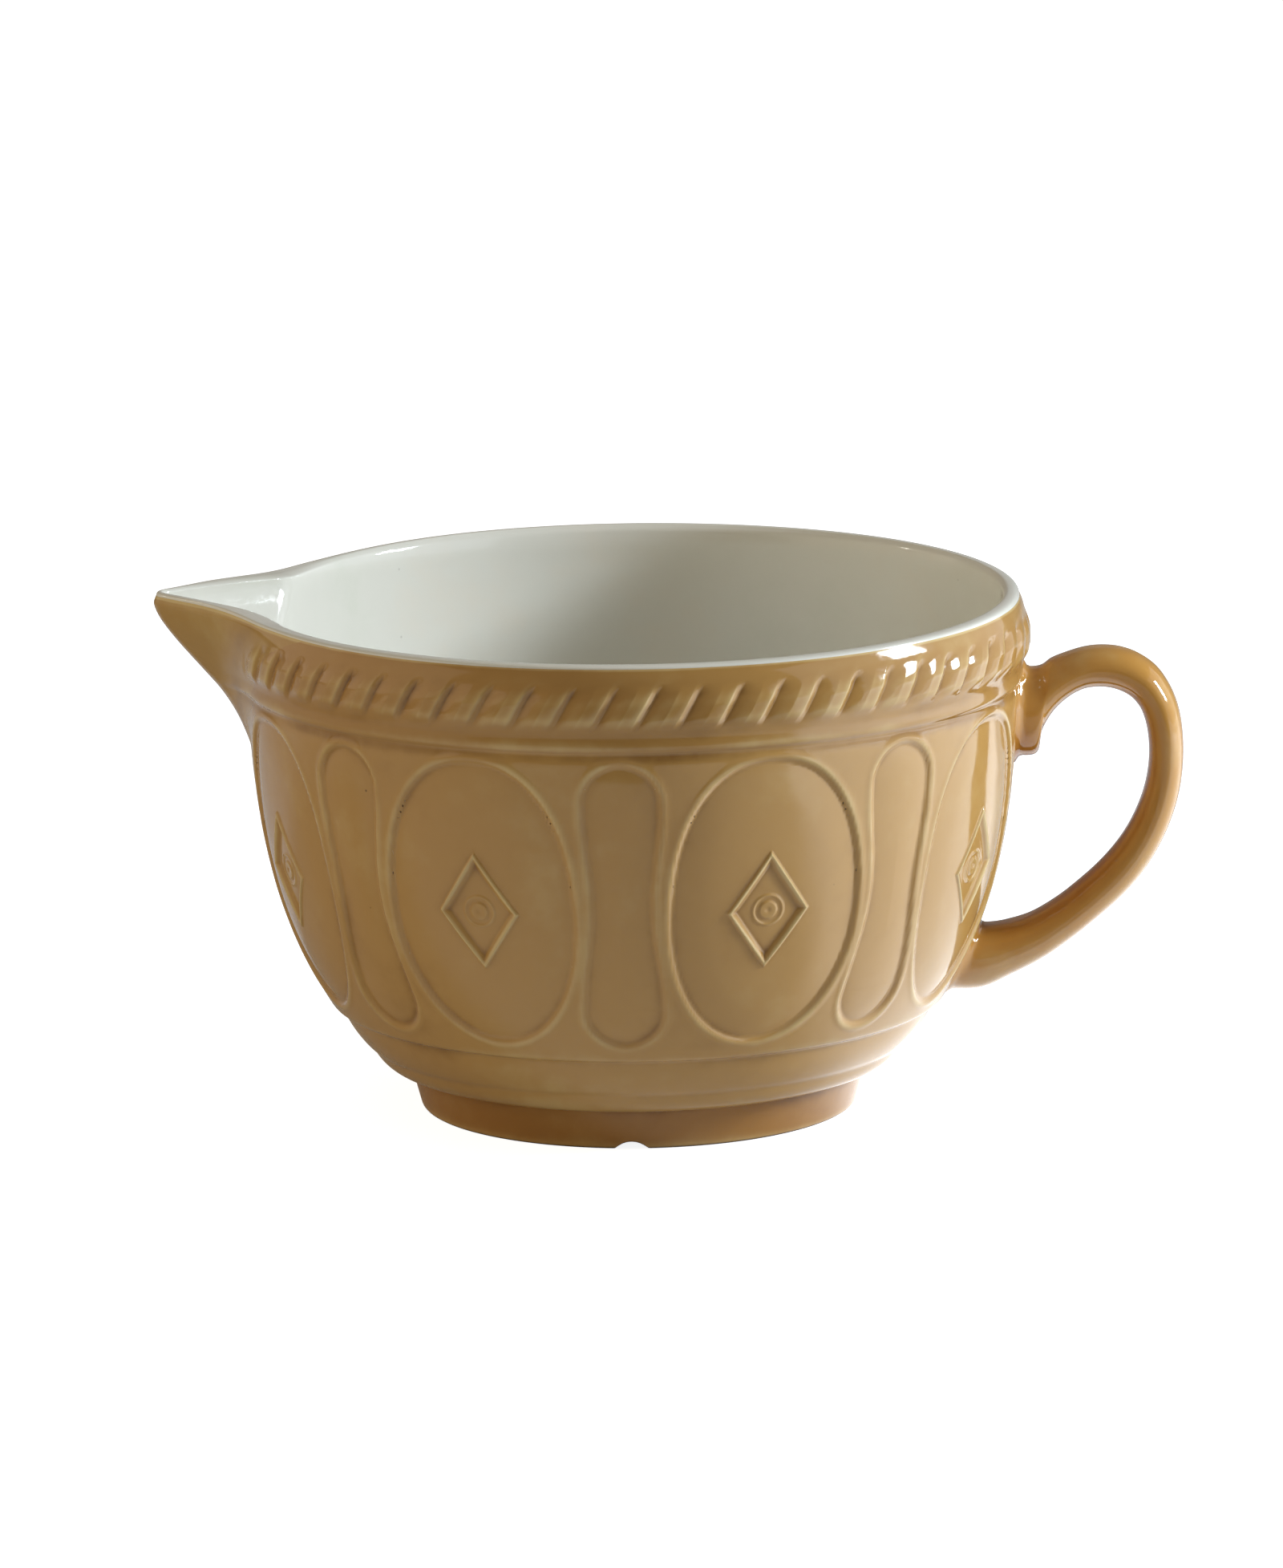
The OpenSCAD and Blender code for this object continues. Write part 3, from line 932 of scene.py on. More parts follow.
    @staticmethod
    def normals(
        place: Callable[[Array, Array], Array], turn: Array, along: Array, step: float, flip: bool = False
    ) -> Array:
        """Works out the normals of a surface.

        Args:
            place: Gives the places for turns and places along a section.
            turn: Angles about the axis.
            along: Places along the section.
            step: Length of the small step used along the section.
            flip: Whether the normals point towards the axis.

        Returns:
            A unit normal for each place.
        """
        swing = Skin.SWING
        across = place(turn + swing, along) - place(turn - swing, along)
        up = place(turn, along + step) - place(turn, along - step)
        normal = np.cross(across, up)
        normal /= np.maximum(np.linalg.norm(normal, axis=-1, keepdims=True), 1e-12)
        return -normal if flip else normal

    def pool(self, turn: Array, run: Array) -> Array:
        """Works out how thick the glaze lies, with a band of painted shade under the bead.

        Args:
            turn: Angles about the bowl's axis.
            run: Places along the outside's section.

        Returns:
            A value for each place: over 0.5 in hollows and in the painted shade under the bead, under 0.5 on
                edges.
        """
        reach, bead_line, bead_line_h, bead_share = 1.5, 1.6, 1.5, 0.6
        radius, z = self.outer.at(run)
        here = self.relief(turn, run)
        swing = reach / np.maximum(radius, 20.0)
        around = [(swing, 0.0), (-swing, 0.0), (0.0 * swing, reach), (0.0 * swing, -reach)]
        level = sum(self.relief(turn + a, run + b) for a, b in around) / 4.0
        wide = sum(self.relief(turn + 2 * a, run + 2 * b) for a, b in around) / 4.0
        # Painted shade under the bead: a band on the wall just below it gets a deeper colour, partly glaze
        # pooled in the corner and partly the shade under the bead.
        bead_pool_and_shade = np.exp(-(((z - self.form.neck_z + bead_line) / bead_line_h) ** 2))
        dip = (level - here) + 0.5 * (wide - here) + 1.2 * self.outer.hollow_at(run) + bead_share * bead_pool_and_shade
        return np.clip(0.5 + np.where(dip > 0, self.POOLING, self.THINNING) * dip, 0.0, 1.0)


# Repeating a sector round the bowl


class SectorRing:
    """Repeats a sector of the bowl about the axis with Geometry Nodes."""

    WELD = 2e-6

    def __init__(self) -> None:
        """Builds the node tree: sectors placed in a ring, made real, welded and dressed."""
        tree = bpy.data.node_groups.new("ring_of_sectors", "GeometryNodeTree")
        face = tree.interface
        inputs = {"Sector": "Geometry", "Count": "Int", "Weld Distance": "Float", "Finish": "Material"}
        self.ids = {
            name: face.new_socket(name, in_out="INPUT", socket_type="NodeSocket" + kind).identifier
            for name, kind in inputs.items()
        }
        face.new_socket("Ring", in_out="OUTPUT", socket_type="NodeSocketGeometry")
        add, link = tree.nodes.new, tree.links.new
        given, result = add("NodeGroupInput"), add("NodeGroupOutput")
        line, index, turn = add("GeometryNodeMeshLine"), add("GeometryNodeInputIndex"), add("ShaderNodeMath")
        step, spin = add("ShaderNodeMath"), add("ShaderNodeCombineXYZ")
        place, real = add("GeometryNodeInstanceOnPoints"), add("GeometryNodeRealizeInstances")
        weld, paint = add("GeometryNodeMergeByDistance"), add("GeometryNodeSetMaterial")
        line.inputs["Offset"].default_value = (0.0, 0.0, 0.0)
        step.operation, step.inputs[0].default_value = "DIVIDE", TURN
        turn.operation = "MULTIPLY"
        link(given.outputs["Count"], line.inputs["Count"])
        link(given.outputs["Count"], step.inputs[1])
        link(step.outputs[0], turn.inputs[0])
        link(index.outputs[0], turn.inputs[1])
        link(turn.outputs[0], spin.inputs["Z"])
        link(line.outputs["Mesh"], place.inputs["Points"])
        link(given.outputs["Sector"], place.inputs["Instance"])
        link(spin.outputs[0], place.inputs["Rotation"])
        link(place.outputs["Instances"], real.inputs[0])
        link(real.outputs[0], weld.inputs["Geometry"])
        link(given.outputs["Weld Distance"], weld.inputs["Distance"])
        link(weld.outputs[0], paint.inputs["Geometry"])
        link(given.outputs["Finish"], paint.inputs["Material"])
        link(paint.outputs[0], result.inputs[0])
        self.tree = tree

    def repeat(
        self, sector: bpy.types.Mesh, count: int, finish: bpy.types.Material
    ) -> tuple[Array, Array, dict[str, Array]]:
        """Repeats a sector.

        Args:
            sector: Mesh of one sector, with its values in point attributes.
            count: Number of sectors round the axis.
            finish: Material of the ring.

        Returns:
            The ring's points in millimetres, its faces, and its attributes by name.
        """
        carrier = bpy.data.objects.new("sector", sector)
        bpy.context.scene.collection.objects.link(carrier)
        modifier = carrier.modifiers.new("ring", "NODES")
        modifier.node_group = self.tree
        for name, value in (("Count", count), ("Weld Distance", self.WELD), ("Finish", finish)):
            modifier[self.ids[name]] = value
        graph = bpy.context.evaluated_depsgraph_get()
        ring = bpy.data.meshes.new_from_object(
            carrier.evaluated_get(graph), preserve_all_data_layers=True, depsgraph=graph
        )
        bpy.data.objects.remove(carrier)
        points = np.empty(len(ring.vertices) * 3)
        ring.vertices.foreach_get("co", points)
        corners = np.empty(len(ring.loops), dtype=np.int64)
        ring.loops.foreach_get("vertex_index", corners)
        layers = {}
        for name in ("run", "dip"):
            values = np.empty(len(ring.vertices), dtype=np.float32)
            ring.attributes[name].data.foreach_get("value", values)
            layers[name] = values.astype(float)
        return points.reshape(-1, 3) / MM, corners.reshape(-1, 4), layers


# The pieces


@dataclass
class Workshop:
    """What every builder of pieces shares: the skin, the ring maker and the finishes."""

    skin: Skin
    ring: SectorRing
    finishes: dict[str, bpy.types.Material]
    lap: float = 0.06
    normal_step: float = 0.12

    def piece(self, name: str, mesh: bpy.types.Mesh, finish: str, slot: str, nodes: Sequence[str]) -> None:
        """Makes a finished mesh a piece of the bowl.

        Args:
            name: Name of the piece.
            mesh: Its mesh, in metres.
            finish: Name of its finish.
            slot: Not used.
            nodes: CAD nodes that it stands for.
        """
        piece = bpy.data.objects.new(name, mesh)
        bpy.context.scene.collection.objects.link(piece)
        mesh.materials.clear()
        mesh.materials.append(self.finishes[finish])
        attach(piece, "root")
        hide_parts(*nodes)
        log.info("%s: %d faces", name, len(mesh.polygons))

    def ring_mesh(
        self, name: str, turns: Array, runs: Array, count: int, finish: str, keep: Optional[Array], dip: Array
    ) -> bpy.types.Mesh:
        """Makes a piece of the outside from one sector that repeats round the axis.

        Args:
            name: Name of the mesh.
            turns: Angle of each point of the sector, in rows and columns.
            runs: Place along the outside's section of each point.
            count: Number of sectors.
            finish: Name of the finish.
            keep: Which points the piece has, or None for all of them.
            dip: How far each point lies under the true surface, where a neighbour covers it.

        Returns:
            The mesh, in metres.
        """
        radius, z = self.skin.outer.at(runs)
        flat = about_axis(turns, radius, z).reshape(-1, 3)
        layers = {"run": runs.reshape(-1), "dip": dip.reshape(-1)}
        sector = make_mesh("sector_of_" + name, flat, grid_faces(*runs.shape, keep=keep), None, layers)
        points, faces, layers = self.ring.repeat(sector, count, self.finishes[finish])
        bpy.data.meshes.remove(sector)
        turn = np.arctan2(points[:, 1], points[:, 0])
        return self.skin_mesh(name, turn, layers["run"], faces, layers["dip"])

    def skin_mesh(self, name: str, turn: Array, run: Array, faces: Array, dip: Array) -> bpy.types.Mesh:
        """Makes a mesh on the true outside, cut away where the spout's channel passes through.

        Args:
            name: Name of the mesh.
            turn: Angle of each point.
            run: Place along the outside's section of each point.
            faces: Corners of the faces.
            dip: How far each point lies under the true surface.

        Returns:
            The mesh, in metres, with the glaze's thickness and painted shade under the bead, and on the foot
            where its clay is unglazed and painted near black, partly as shadow.
        """
        skin, spout_low, thin_edge, edge_h = self.skin, 100.0, 0.8, 0.6
        true = skin.outside(turn, run)
        normals = skin.normals(skin.outside, turn, run, self.normal_step)
        radius, z = skin.outer.at(run)
        open_way = (skin.spout.radius(turn, z, False) > radius + skin.spout.cut) & (z > spout_low)
        faces = faces[~open_way[faces].any(axis=1)]
        edge = ease((run - (skin.outer.length - thin_edge)) / edge_h)
        # The glaze's thickness here also carries the painted shade under the bead.
        layers = {"pool": np.clip(skin.pool(turn, run) - 0.35 * edge, 0.0, 1.0)}
        # The foot's unglazed mask also marks where its near-black colour paints shadow under the notch's arch
        # and along the resting edge.
        if run.max() < skin.mark["wall_foot"]:
            layers["bare_and_shadowed"] = self.bare_and_shadowed(radius, true[:, 2], z)
        return make_mesh(name, true - normals * dip[:, None], faces, normals, layers)

    @staticmethod
    def bare_and_shadowed(radius: Array, z: Array, plain_z: Array) -> Array:
        """Finds where the glaze is left off: on the resting edge and in the notch, where the near-black clay
        colour also paints shadow.

        Args:
            radius: Radius of each point.
            z: Its height.
            plain_z: Its height without the notch.

        Returns:
            A value for each point, 1 where the clay is unglazed and painted near black, partly as shadow.
        """
        edge_z, edge_soft, lifted, lifted_soft, ring_r, ring_soft = 0.75, 0.4, 0.02, 0.15, 54.5, 0.8
        unglazed_and_shadowed = np.maximum(ease((edge_z - z) / edge_soft), ease((z - plain_z - lifted) / lifted_soft))
        return unglazed_and_shadowed * ease((radius - ring_r) / ring_soft)

    def revolved(
        self, name: str, start: float, end: float, spacing: float, columns: int, pole: bool = False
    ) -> bpy.types.Mesh:
        """Makes a turned stretch of the outside.

        Args:
            name: Name of the mesh.
            start: Where it starts along the section.
            end: Where it ends.
            spacing: Distance between its rows.
            columns: Number of its columns.
            pole: Whether the stretch starts on the axis and is closed there.

        Returns:
            The mesh, in metres, with its covered ends a little under the surface.
        """
        cover, soft = 0.5, 0.4
        rows = np.linspace(start, end, max(3, int((end - start) / spacing)))
        turn, run = np.meshgrid(circle(columns), rows)
        faces = grid_faces(*turn.shape, closed=True)
        inner = 0.0 if pole else self.lap
        dip = inner * ease((start + cover - run) / soft) + self.lap * ease((run - end + cover) / soft)
        turn, run, dip = turn.reshape(-1), run.reshape(-1), dip.reshape(-1)
        if pole:
            near_axis = 0.02
            faces = np.concatenate([faces, triangle_fan(np.arange(columns), len(run))])
            turn, run, dip = np.append(turn, 0.0), np.append(run, near_axis), np.append(dip, 0.0)
        return self.skin_mesh(name, turn, run, faces, dip)


@dataclass
class Foot:
    """The foot ring with its drain notch, and the hollow under the floor."""

    shop: Workshop
    columns: int = 900
    spacing: float = 0.45
    hollow_columns: int = 240
    hollow_spacing: float = 1.2
    middle: float = 0.4

    def build(self) -> None:
        """Builds the foot ring and the hollow."""
        shop, mark = self.shop, self.shop.skin.mark
        start, end = mark["hollow"] - 1.0, mark["foot_top"] + 0.4
        ring = shop.revolved("foot_ring_glazed", start, end, self.spacing, self.columns)
        shop.piece("foot_ring_glazed", ring, "foot", "foot_ring", ["foot_ring"])
        end = mark["hollow"] - 0.6
        spacing, columns = self.hollow_spacing, self.hollow_columns
        hollow = shop.revolved("foot_hollow", self.middle, end, spacing, columns, pole=True)
        shop.piece("foot_hollow", hollow, "foot", "bowl_body", ["bowl_body"])


@dataclass(frozen=True)
class GridSize:
    """Half of the width and of the height of a grid on the wall, and the distance between its lines."""

    half_w: float
    half_h: float
    spacing: float


@dataclass
class Wall:
    """The wall: turned steps, the lands between the panels, and the panels with their lozenges."""

    shop: Workshop
    border: float = 0.7
    overlap: float = 0.8
    hidden: float = 0.15
    seam: float = 0.4
    columns: int = 900
    step_spacing: float = 0.45
    land_columns: int = 89
    land_rows: int = 196
    oval_grid: GridSize = GridSize(29.5, 48.0, 0.85)
    oval_middle: GridSize = GridSize(13.6, 21.0, 0.45)
    waisted_grid: GridSize = GridSize(12.5, 48.0, 0.6)
    lozenge_grid: GridSize = GridSize(13.8, 21.8, 0.36)
    button_grid: GridSize = GridSize(6.0, 8.0, 0.25)
    button_reach: float = 5.1

    @staticmethod
    def lines(half: float, spacing: float, core: float, fine: float) -> Array:
        """Spaces the lines of a grid.

        Args:
            half: Half of the grid's size.
            spacing: Distance between its lines.
            core: Half of the size of its finer middle, or 0 where it has none.
            fine: Distance between the lines of the middle.

        Returns:
            The places of the lines, from -half to half.
        """
        if not core:
            return np.linspace(-half, half, int(2 * half / spacing) + 1)
        side = np.linspace(core, half, int((half - core) / spacing) + 2)[1:]
        middle = np.linspace(-core, core, int(2 * core / fine) + 1)
        return np.concatenate([-side[::-1], middle, side])

    def grid(
        self, size: GridSize, shift: float, core: GridSize = GridSize(0.0, 0.0, 1.0)
    ) -> tuple[Array, Array]:
        """Lays a grid about a panel's middle.

        Args:
            size: Size of the grid.
            shift: Share of a panel's turn that the grid is turned by.
            core: Size of its finer middle.

        Returns:
            The turn and the place along the section of each point.
        """
        skin = self.shop.skin
        radius = skin.form.neck_r - 3.0
        middle_run = float(skin.outer.run_of_height(np.array(skin.panel_z), skin.mark["wall_foot"]))
        across = self.lines(size.half_w, size.spacing, core.half_w, core.spacing) / radius
        along = middle_run + self.lines(size.half_h, size.spacing, core.half_h, core.spacing)
        return np.meshgrid(across + shift * TURN / skin.panels.count, along)

    def depths(self, turn: Array, run: Array) -> tuple[Array, Array, Array, Array]:
        """Measures where places on the wall lie.

        Args:
            turn: Angles about the bowl's axis.
            run: Places along the outside's section.

        Returns:
            How deep each place lies inside an oval, a waisted panel and a lozenge, and its distance from
            the middle of a button.
        """
        skin, panels = self.shop.skin, self.shop.skin.panels
        radius, z = skin.outer.at(run)
        tilt = skin.tilt(run)
        y = z - skin.panel_z
        x_oval, x_waisted = panels.local(turn, radius, 0.5), panels.local(turn, radius, 0.0)
        oval, waisted = panels.oval_depth(x_oval, y, tilt), panels.waisted_depth(x_waisted, y, tilt)
        along = (y + panels.lozenge_drop) / tilt
        return oval, waisted, panels.lozenge_depth(x_oval, along), np.hypot(x_oval, along)

    def past(self, depth: Array) -> Array:
        """Returns how far a cover hides its neighbour, from how deep a place lies under it."""
        return ease(depth / (0.8 * self.overlap))

    def over(self, depth: Array) -> Array:
        """Returns a short step from 0 to 1 across a seam."""
        return ease(depth / self.seam)

    def piece(self, name: str, turn: Array, run: Array, keep: Array, dip: Array, slot: str) -> None:
        """Makes a piece that repeats with the panels.

        Args:
            name: Name of the piece.
            turn: Angle of each point of one sector.
            run: Place along the section of each point.
            keep: Which points the piece has.
            dip: How much of the hidden depth each point lies under the true surface.
            slot: Name of the CAD node that it stands for.
        """
        count = self.shop.skin.panels.count
        mesh = self.shop.ring_mesh(name, turn, run, count, "cane", keep, self.hidden * dip)
        self.shop.piece(name, mesh, "cane", slot, [slot])

    def build(self) -> None:
        """Builds every piece of the wall."""
        mark = self.shop.skin.mark
        start, end = mark["foot_top"] - 0.1, mark["wall_foot"] + 0.6
        steps = self.shop.revolved("turned_steps", start, end, self.step_spacing, self.columns)
        self.shop.piece("turned_steps", steps, "cane", "bowl_body", ["bowl_body"])
        self.lands()
        self.ovals()
        self.waisted()
        self.lozenges()
        self.buttons()

    def lands(self) -> None:
        """Builds the wall between the panels."""
        skin = self.shop.skin
        columns = np.linspace(0.0, TURN / skin.panels.count, self.land_columns)
        rows = np.linspace(skin.mark["wall_foot"] + 0.1, skin.mark["neck"] + 0.3, self.land_rows)
        turn, run = np.meshgrid(columns, rows)
        oval, waisted, _, _ = self.depths(turn, run)
        deepest = np.maximum(oval, waisted) - self.border
        self.piece("wall_lands", turn, run, deepest < self.overlap, self.past(deepest), "bowl_body")

    def ovals(self) -> None:
        """Builds the faces of the ovals, a little lower where the lozenges and the buttons cover them."""
        turn, run = self.grid(self.oval_grid, 0.5, self.oval_middle)
        oval, _, lozenge, away = self.depths(turn, run)
        frame_over = self.over(lozenge + 0.1) * self.over(self.shop.skin.panels.rib_w + 0.2 - lozenge)
        under = np.maximum(frame_over, self.over(self.button_reach - away))
        dip = np.maximum(self.past(self.border - oval), under)
        self.piece("oval_faces", turn, run, oval > self.border - self.overlap, dip, "oval_panels")

    def waisted(self) -> None:
        """Builds the faces of the waisted panels."""
        turn, run = self.grid(self.waisted_grid, 0.0)
        _, waisted, _, _ = self.depths(turn, run)
        keep = waisted > self.border - self.overlap
        self.piece("waisted_faces", turn, run, keep, self.past(self.border - waisted), "waisted_panels")

    def lozenges(self) -> None:
        """Builds the lozenges' raised frames."""
        turn, run = self.grid(self.lozenge_grid, 0.5)
        _, _, lozenge, _ = self.depths(turn, run)
        rib_w = self.shop.skin.panels.rib_w
        dip = np.maximum(self.over(-0.1 - lozenge), self.over(lozenge - rib_w - 0.2))
        keep = (lozenge > -0.7) & (lozenge < rib_w + 0.8)
        self.piece("lozenge_ribs", turn, run, keep, dip, "lozenge_frames")

    def buttons(self) -> None:
        """Builds the rings and the buttons in the lozenges."""
        turn, run = self.grid(self.button_grid, 0.5)
        _, _, _, away = self.depths(turn, run)
        keep = away < self.button_reach + 0.5
        self.piece("ring_and_button", turn, run, keep, self.over(away - self.button_reach), "ring_buttons")


@dataclass
class Collar:
    """The bead, the rope band and the plain band under the lip."""

    shop: Workshop
    columns: int = 28
    rows: int = 60
    cover: float = 0.3
    soft: float = 0.4

    def build(self) -> None:
        """Builds the collar from one strand that repeats round the neck."""
        skin, rope = self.shop.skin, self.shop.skin.rope
        rows = np.linspace(skin.mark["neck"] - self.cover, skin.outer.length, self.rows)
        strand = TURN / rope.strands * (rope.phase + np.linspace(-0.5, 0.5, self.columns))
        turn, run = np.meshgrid(strand, rows)
        _, z = skin.outer.at(run)
        turn = turn + (z - (rope.low_z + rope.high_z) / 2) * math.tan(rope.slant) / skin.form.neck_r
        dip = self.shop.lap * ease((skin.mark["neck"] + 0.2 - run) / self.soft)
        mesh = self.shop.ring_mesh("rope_strands", turn, run, rope.strands, "collar", None, dip)
        self.shop.piece("rope_strands", mesh, "collar", "rope_collar", ["rope_collar"])


@dataclass
class SpoutAndLining:
    """The spout's outside, the white lip and the white lining."""

    shop: Workshop
    spout_half: float = math.radians(52.0)
    spout_low: float = 100.0
    outer_step: float = 0.33
    outer_rows: int = 104
    lining_half: float = math.radians(44.0)
    channel_low: float = 90.0
    channel_step: float = 0.4
    channel_spacing: float = 0.8
    lip_step: float = 0.5
    lip_points: int = 33
    normal_step: float = 0.15
    floor_run: float = 0.6
    bend_run: float = 100.0
    columns: int = 400
    floor_rows: int = 90
    wall_rows: int = 110

    def turns(self, half: float, step: float) -> Array:
        """Returns turns about the spout's middle, a number of degrees apart."""
        return self.shop.skin.spout.turn + np.linspace(-half, half, int(2 * half / math.radians(step)) + 1)

    def outer_mesh(self) -> bpy.types.Mesh:
        """Makes the spout's outside with the fillets that join it to the wall.

        Returns:
            The mesh, in metres, with the glaze's thickness and the painted shade under the bead.
        """
        skin, blend = self.shop.skin, self.shop.skin.spout.outer_blend
        turns = self.turns(self.spout_half, self.outer_step)
        turn, share = np.meshgrid(turns, np.linspace(0.0, 1.0, self.outer_rows))
        high = skin.form.lip_z + skin.spout.edge_rise(turn)
        z = self.spout_low + (high - self.spout_low) * share
        points = skin.spout_point(turn, z)
        normals = skin.normals(skin.spout_point, turn, z, self.normal_step)
        run = skin.outer.run_of_height(z, skin.mark["wall_foot"])
        radius, _ = skin.outer.at(run)
        gap = radius - skin.spout.radius(turn, z, False)
        dip = 0.1 * ease((gap - blend + 1.6) / 1.2)
        calm, edge = ease((gap - 1.0) / 6.0), ease((z - high + 1.1) / 0.9)
        pool = 0.5 + (skin.pool(turn, run) - 0.5) * calm - 0.5 * edge
        pool = np.clip(pool + 0.18 * ease((blend / 2 - np.abs(gap)) / 5.0), 0.0, 1.0)
        faces = grid_faces(*turn.shape, keep=gap < blend)
        flat = (points - normals * dip[..., None]).reshape(-1, 3)
        return make_mesh("spout_outside", flat, faces, normals.reshape(-1, 3), {"pool": pool.reshape(-1)})

    def lining_grid(self, turns: Array) -> tuple[Array, Array]:
        """Lays out the channel's stretch of the lining.

        Args:
            turns: Angles of its columns.

        Returns:
            Its points and normals, from the channel's foot to the rim.
        """
        skin, spacing = self.shop.skin, self.channel_spacing
        start = float(np.interp(self.channel_low, skin.inner.line[:, 1], skin.inner.run))
        rows = np.linspace(start, skin.inner.length, int((skin.inner.length - start) / spacing) + 1)
        turn, run = np.meshgrid(turns, rows)
        return skin.inside(turn, run), skin.normals(skin.inside, turn, run, self.normal_step, flip=True)

    def lip_grid(self, turns: Array) -> tuple[Array, Array]:
        """Lays out a stretch of the lip.

        Args:
            turns: Angles of its columns.

        Returns:
            Its points and normals, from the outer edge to the inner edge.
        """
        skin, inside_edge = self.shop.skin, 0.004
        shares = 0.5 - 0.5 * np.cos(np.linspace(0.0, math.pi, self.lip_points))
        turn, share = np.meshgrid(turns, shares)
        held = np.clip(share, inside_edge, 1.0 - inside_edge)
        return skin.lip(turn, share), skin.normals(skin.lip, turn, held, 0.003)

    def build(self) -> None:
        """Builds the spout, the lip and the lining."""
        self.shop.piece("spout_outside", self.outer_mesh(), "spout", "spout", ["spout"])
        self.rim()
        self.channel()
        self.lining()

    def rim(self) -> None:
        """Builds the lip round the bowl, up to a short overlap with the spout's stretch."""
        skin, overlap = self.shop.skin, math.radians(self.lip_step)
        half = math.pi - self.lining_half + overlap
        turns = np.linspace(-half, half, int(2 * half / math.radians(self.lip_step)) + 1)
        points, normals = self.lip_grid(turns)
        under = ease((self.lining_half - skin.spout.away(turns)) / overlap)[None, :, None]
        points = points - 0.05 * normals * under
        faces = grid_faces(*points.shape[:2])
        mesh = make_mesh("rim", points.reshape(-1, 3), faces, normals.reshape(-1, 3), {})
        self.shop.piece("rim", mesh, "white", "rim_lip", ["rim_lip"])

    def channel(self) -> None:
        """Builds the spout's lip and the white channel in one piece."""
        turns = self.turns(self.lining_half, self.channel_step)
        stretches = (self.lip_grid(turns), self.lining_grid(turns))
        lip_faces, low_faces = (grid_faces(*points.shape[:2]) for points, _ in stretches)
        faces = np.concatenate([lip_faces, low_faces[:, ::-1] + stretches[0][0].size // 3])
        points, normals = (np.concatenate([part[k].reshape(-1, 3) for part in stretches]) for k in (0, 1))
        mesh = make_mesh("spout_channel", points, faces, normals, {})
        self.shop.piece("spout_channel", mesh, "white", "spout_glaze", ["spout_glaze"])

    def lining(self) -> None:
        """Builds the lining: a closed floor and wall, with the channel's stretch left out."""
        skin, columns = self.shop.skin, self.columns
        floor = np.linspace(self.floor_run, self.bend_run, self.floor_rows)[:-1]
        rows = np.concatenate([floor, np.linspace(self.bend_run, skin.inner.length, self.wall_rows)])
        turn, run = np.meshgrid(circle(columns), rows)
        points = skin.inside(turn, run)
        normals = skin.normals(skin.inside, turn, run, self.normal_step, flip=True)
        away, z = skin.spout.away(turn), points[..., 2]
        beside = ease((self.lining_half - away) / math.radians(1.0))
        under = beside * ease((z - self.channel_low - 0.5) / 1.0)
        keep = ~((away < self.lining_half - math.radians(1.5)) & (z > self.channel_low + 3.0))
        faces = grid_faces(*turn.shape, closed=True, keep=keep)[:, ::-1]
        flat = (points - self.shop.lap * under[..., None] * normals).reshape(-1, 3)
        fan = triangle_fan(np.arange(columns), len(flat))[:, [1, 0, 2, 3]]
        flat = np.concatenate([flat, [[0.0, 0.0, skin.form.floor_z]]])
        every = np.concatenate([normals.reshape(-1, 3), [[0.0, 0.0, 1.0]]])
        mesh = make_mesh("lining", flat, np.concatenate([faces, fan]), every, {})
        self.shop.piece("lining", mesh, "white", "inner_glaze", ["inner_glaze"])


